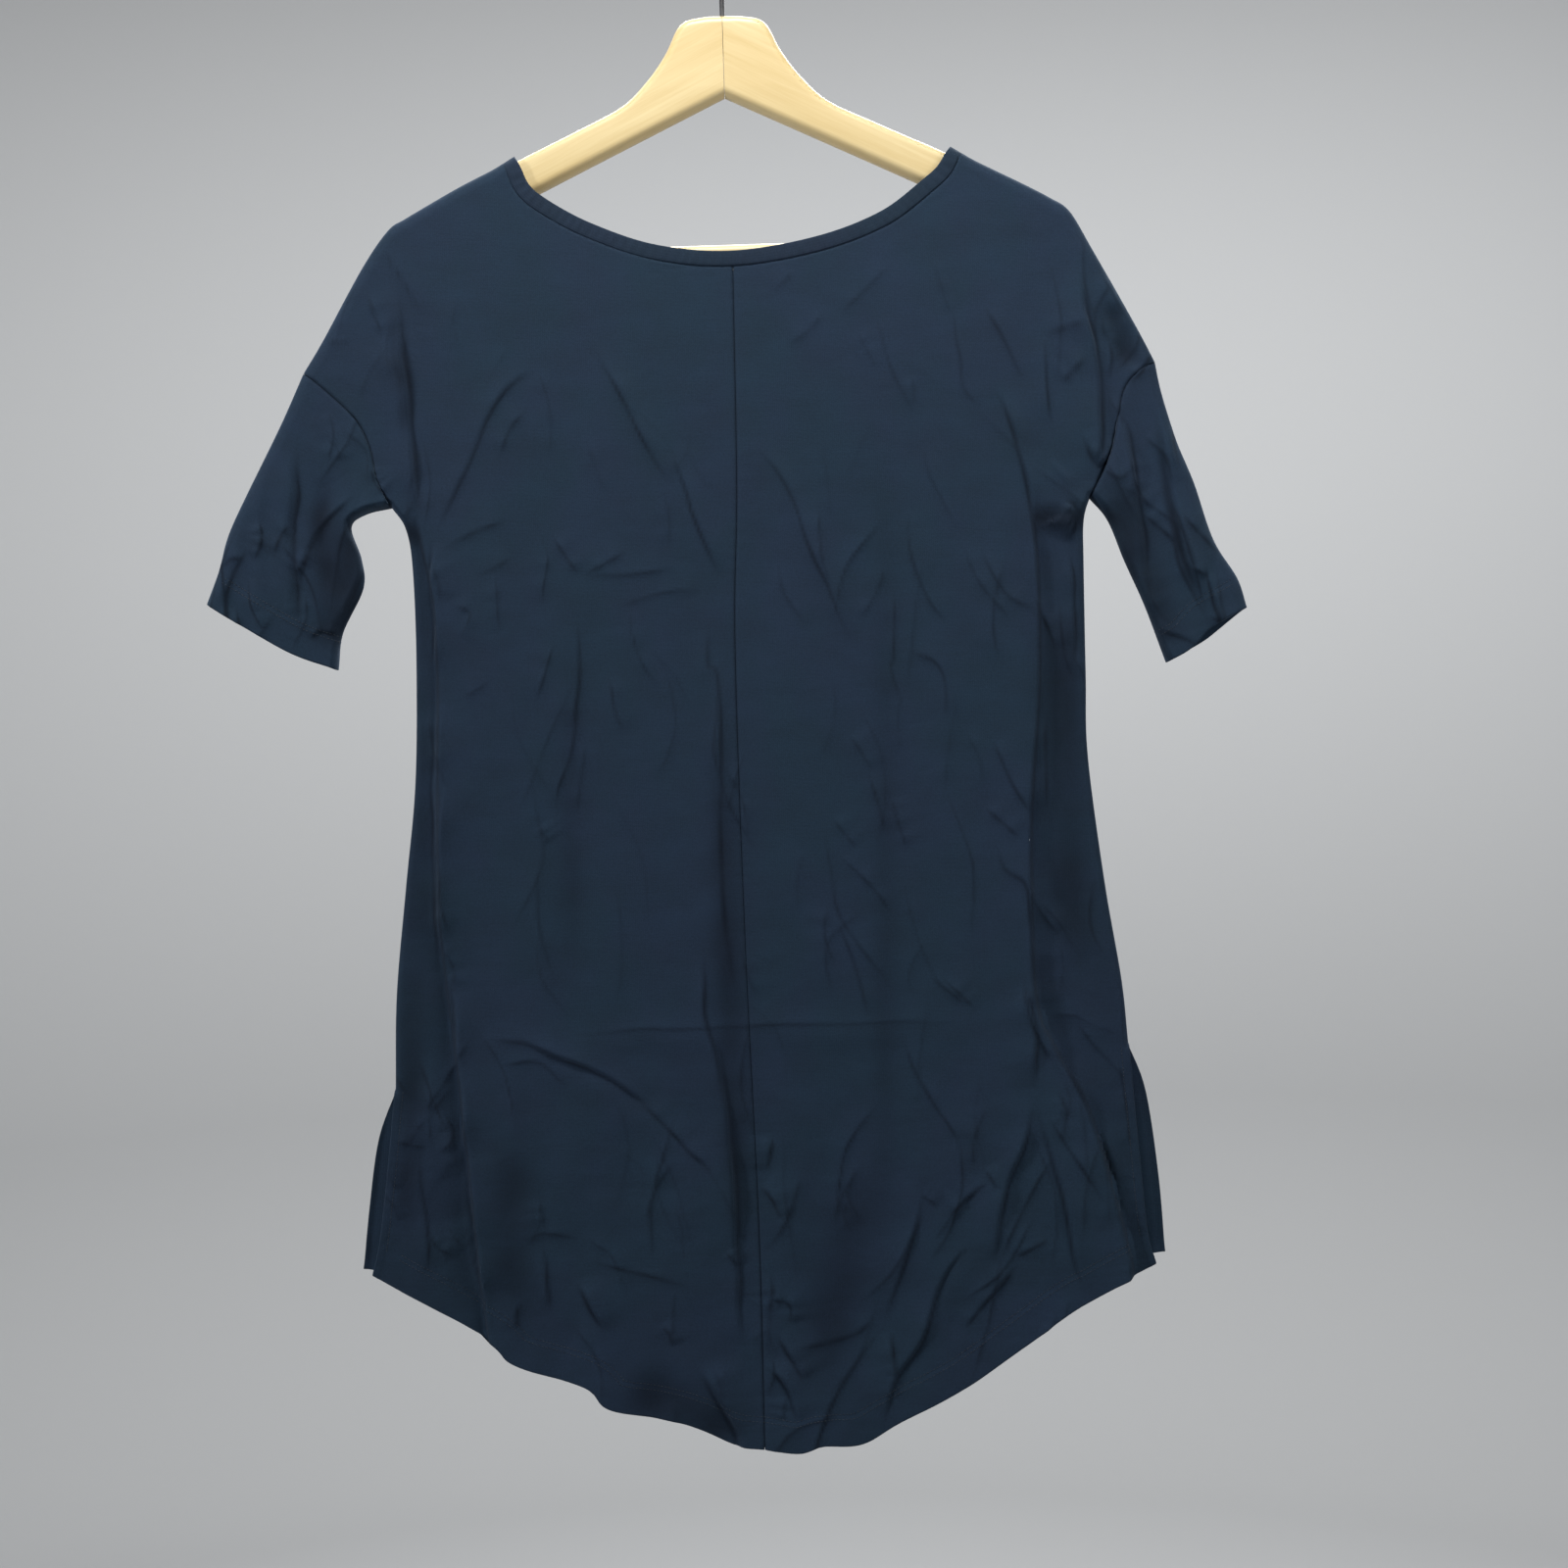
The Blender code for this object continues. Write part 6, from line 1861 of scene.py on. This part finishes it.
class BLOUSE_OT_hanger_arms(bpy.types.Operator):
    """Build the hanger's two wooden arms, which meet under the hook"""

    bl_idname = "blouse.hanger_arms"
    bl_label = "Hanger arms"

    def execute(self, context):
        settings = context.scene.blouse_hanger
        (_, top_x, top_z), (_, end_x, end_z) = ARM_TOP[5], ARM_TOP[9]
        slope = np.arctan2(end_z - top_z, end_x - top_x)
        blank = hanger_blank(settings.edge_steps)
        inner = ARM_FOOT[1][1]
        for half, sign in (("left", -1), ("right", 1)):
            name = "hanger_arm_" + half
            arm = bmesh.new()
            arm.from_mesh(blank)
            cut = bmesh.ops.bisect_plane(
                arm,
                geom=arm.verts[:] + arm.edges[:] + arm.faces[:],
                plane_co=(sign * FIT_GAP / 2 * MM, 0, 0),
                plane_no=(-sign, 0, 0),
                clear_outer=True,
            )
            edges = [item for item in cut["geom_cut"] if isinstance(item, bmesh.types.BMEdge)]
            bmesh.ops.holes_fill(arm, edges=edges)
            bmesh.ops.recalc_face_normals(arm, faces=arm.faces)
            mesh = bpy.data.meshes.new(name)
            arm.to_mesh(mesh)
            arm.free()
            finish = named_finish("pale wood " + half, wood_finish, settings.wood, sign * slope)
            piece = add_piece(name + "_wood", mesh, finish)
            bore = (0, 0, SHANK_END_Z - FIT_GAP), (0, 0, STEM_TOP_Z)
            socket = [(sign * x, 0, BAR_HEIGHT) for x in (inner - 5, inner + SOCKET_DEPTH + FIT_GAP)]
            cutters = (
                round_cutter("shank bore", WIRE_RADIUS + FIT_GAP, *bore),
                round_cutter("bar socket", BAR_RADIUS + FIT_GAP, *socket),
            )
            cut_mesh(piece, cutters)
            piece.data.materials.clear()
            piece.data.materials.append(finish)
            piece.data.shade_smooth()
            piece.data.set_sharp_from_angle(angle=np.radians(35))
            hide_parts(name)
        bpy.data.meshes.remove(blank)
        return {"FINISHED"}


class BLOUSE_OT_hanger_bar(bpy.types.Operator):
    """Turn the round bar between the arms, with eased ends"""

    bl_idname = "blouse.hanger_bar"
    bl_label = "Hanger bar"

    def execute(self, context):
        settings = context.scene.blouse_hanger
        half = ARM_FOOT[1][1] + SOCKET_DEPTH
        ease_size = 0.8
        profile = [(0.0, -half), (BAR_RADIUS - ease_size, -half), (BAR_RADIUS, -half + ease_size)]
        lengths = np.linspace(-half + ease_size, half - ease_size, 41)[1:-1]
        profile += [(BAR_RADIUS + 0.04 * np.sin(at / 13), at) for at in lengths]
        profile += [(BAR_RADIUS, half - ease_size), (BAR_RADIUS - ease_size, half), (0.0, half)]
        turns = np.linspace(0, 2 * np.pi, 40, endpoint=False)
        rings = []
        for radius, at in profile:
            ring = [(at, radius * np.cos(turn), BAR_HEIGHT + radius * np.sin(turn)) for turn in turns]
            rings.append(ring if radius else ring[:1])
        finish = named_finish("pale wood bar", wood_finish, settings.wood, 0.0)
        mesh = ringed_mesh("hanger_bar_wood", rings, sharp=50)
        add_standing("hanger_bar", "_wood", mesh, finish)
        return {"FINISHED"}


def hook_line():
    """The middle of the hook's wire, x and z: shank, bend, and the arc that goes over the rail."""
    angles = np.radians(np.linspace(-52, 216, 120))
    arc = np.column_stack([HOOK_RADIUS * np.cos(angles), HOOK_CENTRE_Z + HOOK_RADIUS * np.sin(angles)])
    top, bend = ("shank's top", 0.0, STEM_TOP_Z - 6), ("stem's top", 0.4, STEM_TOP_Z)
    bend = smooth((top, bend, ("bend", 4.6, -43.0), ("arc", *arc[0])))
    shank = np.array([(0, SHANK_END_Z), (0, STEM_TOP_Z - 12)])
    return np.vstack([shank, along(bend, np.linspace(0, 1, 24)), arc[1:]])


class BLOUSE_OT_hanger_hook(bpy.types.Operator):
    """Bend the steel hook, whose shank goes down into the wood"""

    bl_idname = "blouse.hanger_hook"
    bl_label = "Hanger hook"

    def execute(self, context):
        settings = context.scene.blouse_hanger
        finish = named_finish("steel wire", steel_finish, settings.steel)
        line = hook_line()
        run = np.gradient(line, axis=0)
        run /= np.linalg.norm(run, axis=1)[:, None]
        across = np.column_stack([-run[:, 1], run[:, 0]])
        tip = [line[-1] + run[-1] * WIRE_RADIUS * share for share in (0.25, 0.5, 0.75, 0.95)]
        line = np.vstack([line, *tip])
        across = np.vstack([across, np.repeat(across[-1:], len(tip), axis=0)])
        radii = WIRE_RADIUS * np.concatenate([np.ones(len(run)), (0.98, 0.9, 0.72, 0.4)])
        turns = np.linspace(0, 2 * np.pi, 24, endpoint=False)
        rings = []
        for place, out, radius in zip(line, across, radii):
            flat = [place + out * radius * np.cos(turn) for turn in turns]
            rings.append([(x, radius * np.sin(turn), z) for (x, z), turn in zip(flat, turns)])
        mesh = ringed_mesh("hanger_hook_wire", rings, sharp=60, capped=True)
        add_standing("hanger_hook", "_wire", mesh, finish)
        return {"FINISHED"}


CAMERA_AT = (24.4, -1250.0, -563.5)
FLOOR_Z = -2000.0
WALL_RADIUS = 3400.0
WALL_TOP = 3200.0
COVE_RADIUS = 700.0


def studio_wall():
    """A round floor with a curved wall all round, as one mesh."""
    turns = np.linspace(0, 2 * np.pi, 97)[:-1]
    centre = WALL_RADIUS - COVE_RADIUS
    profile = [(WALL_RADIUS * share, FLOOR_Z) for share in (0.25, 0.5)]
    for turn in np.linspace(-np.pi / 2, 0, 17):
        profile.append((centre + COVE_RADIUS * np.cos(turn), FLOOR_Z + COVE_RADIUS * (1 + np.sin(turn))))
    profile.append((WALL_RADIUS, WALL_TOP))
    rings = [[(radius * np.cos(turn), radius * np.sin(turn), z) for turn in turns] for radius, z in profile]
    return ringed_mesh("studio_wall", [[(0, 0, FLOOR_Z)], *rings], inwards=True)


def add_area_light(name, place, aim, size, power, colour=(1, 1, 1)):
    """A soft light of this size and power, aimed at a point."""
    light = bpy.data.lights.new(name, "AREA")
    light.shape = "RECTANGLE"
    light.size, light.size_y = size
    light.energy = power
    light.color = colour
    made = bpy.data.objects.new(name, light)
    made.location = place
    away = np.array(aim, float) - np.array(place, float)
    made.rotation_euler = (
        np.pi / 2 + np.arctan2(away[2], np.hypot(away[0], away[1])),
        0,
        np.arctan2(away[1], away[0]) - np.pi / 2,
    )
    bpy.context.scene.collection.objects.link(made)


class BLOUSE_OT_studio(bpy.types.Operator):
    """Set the plain floor and wall, the soft lights and the camera"""

    bl_idname = "blouse.studio"
    bl_label = "Studio"

    def execute(self, context):
        settings = context.scene.blouse_studio
        wall = bpy.data.objects.new("studio_wall", studio_wall())
        wall.data.materials.append(named_finish("studio paint", wall_finish, settings.wall))
        context.scene.collection.objects.link(wall)
        warm, cool = (1, 0.99, 0.94), (0.92, 0.95, 1)
        for light in (
            ("key light", (-0.06, -0.52, 0.6), (0.02, 0, -0.4), (0.36, 0.2), settings.key_power, warm),
            ("side light", (1.1, -0.9, -0.25), (0, 0, -0.5), (0.7, 0.7), settings.side_power),
            ("left light", (-2.5, -1.15, -0.2), (0, 0, -0.6), (0.3, 0.3), settings.left_power, cool),
            ("back light", (0.3, 1.3, 0.6), (0, 0, -0.5), (0.7, 0.7), settings.back_power),
            ("wall light", (0.2, 1.0, 1.0), (-0.1, 3.4, -2.3), (1.8, 0.6), settings.wall_power),
        ):
            add_area_light(*light)
        world = bpy.data.worlds.new("studio fill")
        world.use_nodes = True
        background = world.node_tree.nodes["Background"]
        background.inputs["Color"].default_value = (0.97, 0.98, 1.0, 1)
        background.inputs["Strength"].default_value = settings.fill
        context.scene.world = world
        context.scene.view_settings.view_transform = "Standard"
        camera = bpy.data.objects.new("camera", bpy.data.cameras.new("camera"))
        camera.data.lens = 45
        camera.data.sensor_width = 36
        camera.location = np.array(CAMERA_AT) * MM
        camera.rotation_euler = (np.pi / 2, settings.camera_roll, 0)
        context.scene.collection.objects.link(camera)
        context.scene.camera = camera
        return {"FINISHED"}


class BLOUSE_PT_parts(bpy.types.Panel):
    """The blouse's parts, in the order in which they are made"""

    bl_label = "Blouse on a hanger"
    bl_space_type = "VIEW_3D"
    bl_region_type = "UI"
    bl_category = "Blouse"

    def draw(self, context):
        for made in OPERATORS:
            self.layout.operator(made.bl_idname)
        for group in ("blouse_cloth", "blouse_hanger", "blouse_studio"):
            box = self.layout.box()
            settings = getattr(context.scene, group)
            for name in settings.bl_rna.properties.keys():
                if name not in ("rna_type", "name"):
                    box.prop(settings, name)


OPERATORS = (
    BLOUSE_OT_seam_allowances,
    BLOUSE_OT_back_panels,
    BLOUSE_OT_front_panel,
    BLOUSE_OT_sleeves,
    BLOUSE_OT_neck_band,
    BLOUSE_OT_stitching,
    BLOUSE_OT_hanger_arms,
    BLOUSE_OT_hanger_bar,
    BLOUSE_OT_hanger_hook,
    BLOUSE_OT_studio,
)
GROUPS = (ClothSettings, HangerSettings, StudioSettings)


def register():
    for made in (*GROUPS, *OPERATORS, BLOUSE_PT_parts):
        bpy.utils.register_class(made)
    bpy.types.Scene.blouse_cloth = bpy.props.PointerProperty(type=ClothSettings)
    bpy.types.Scene.blouse_hanger = bpy.props.PointerProperty(type=HangerSettings)
    bpy.types.Scene.blouse_studio = bpy.props.PointerProperty(type=StudioSettings)


def unregister():
    del bpy.types.Scene.blouse_studio
    del bpy.types.Scene.blouse_hanger
    del bpy.types.Scene.blouse_cloth
    for made in reversed((*GROUPS, *OPERATORS, BLOUSE_PT_parts)):
        bpy.utils.unregister_class(made)


def main():
    register()
    for made in OPERATORS:
        group, name = made.bl_idname.split(".")
        getattr(getattr(bpy.ops, group), name)()


if __name__ == "__main__":
    main()
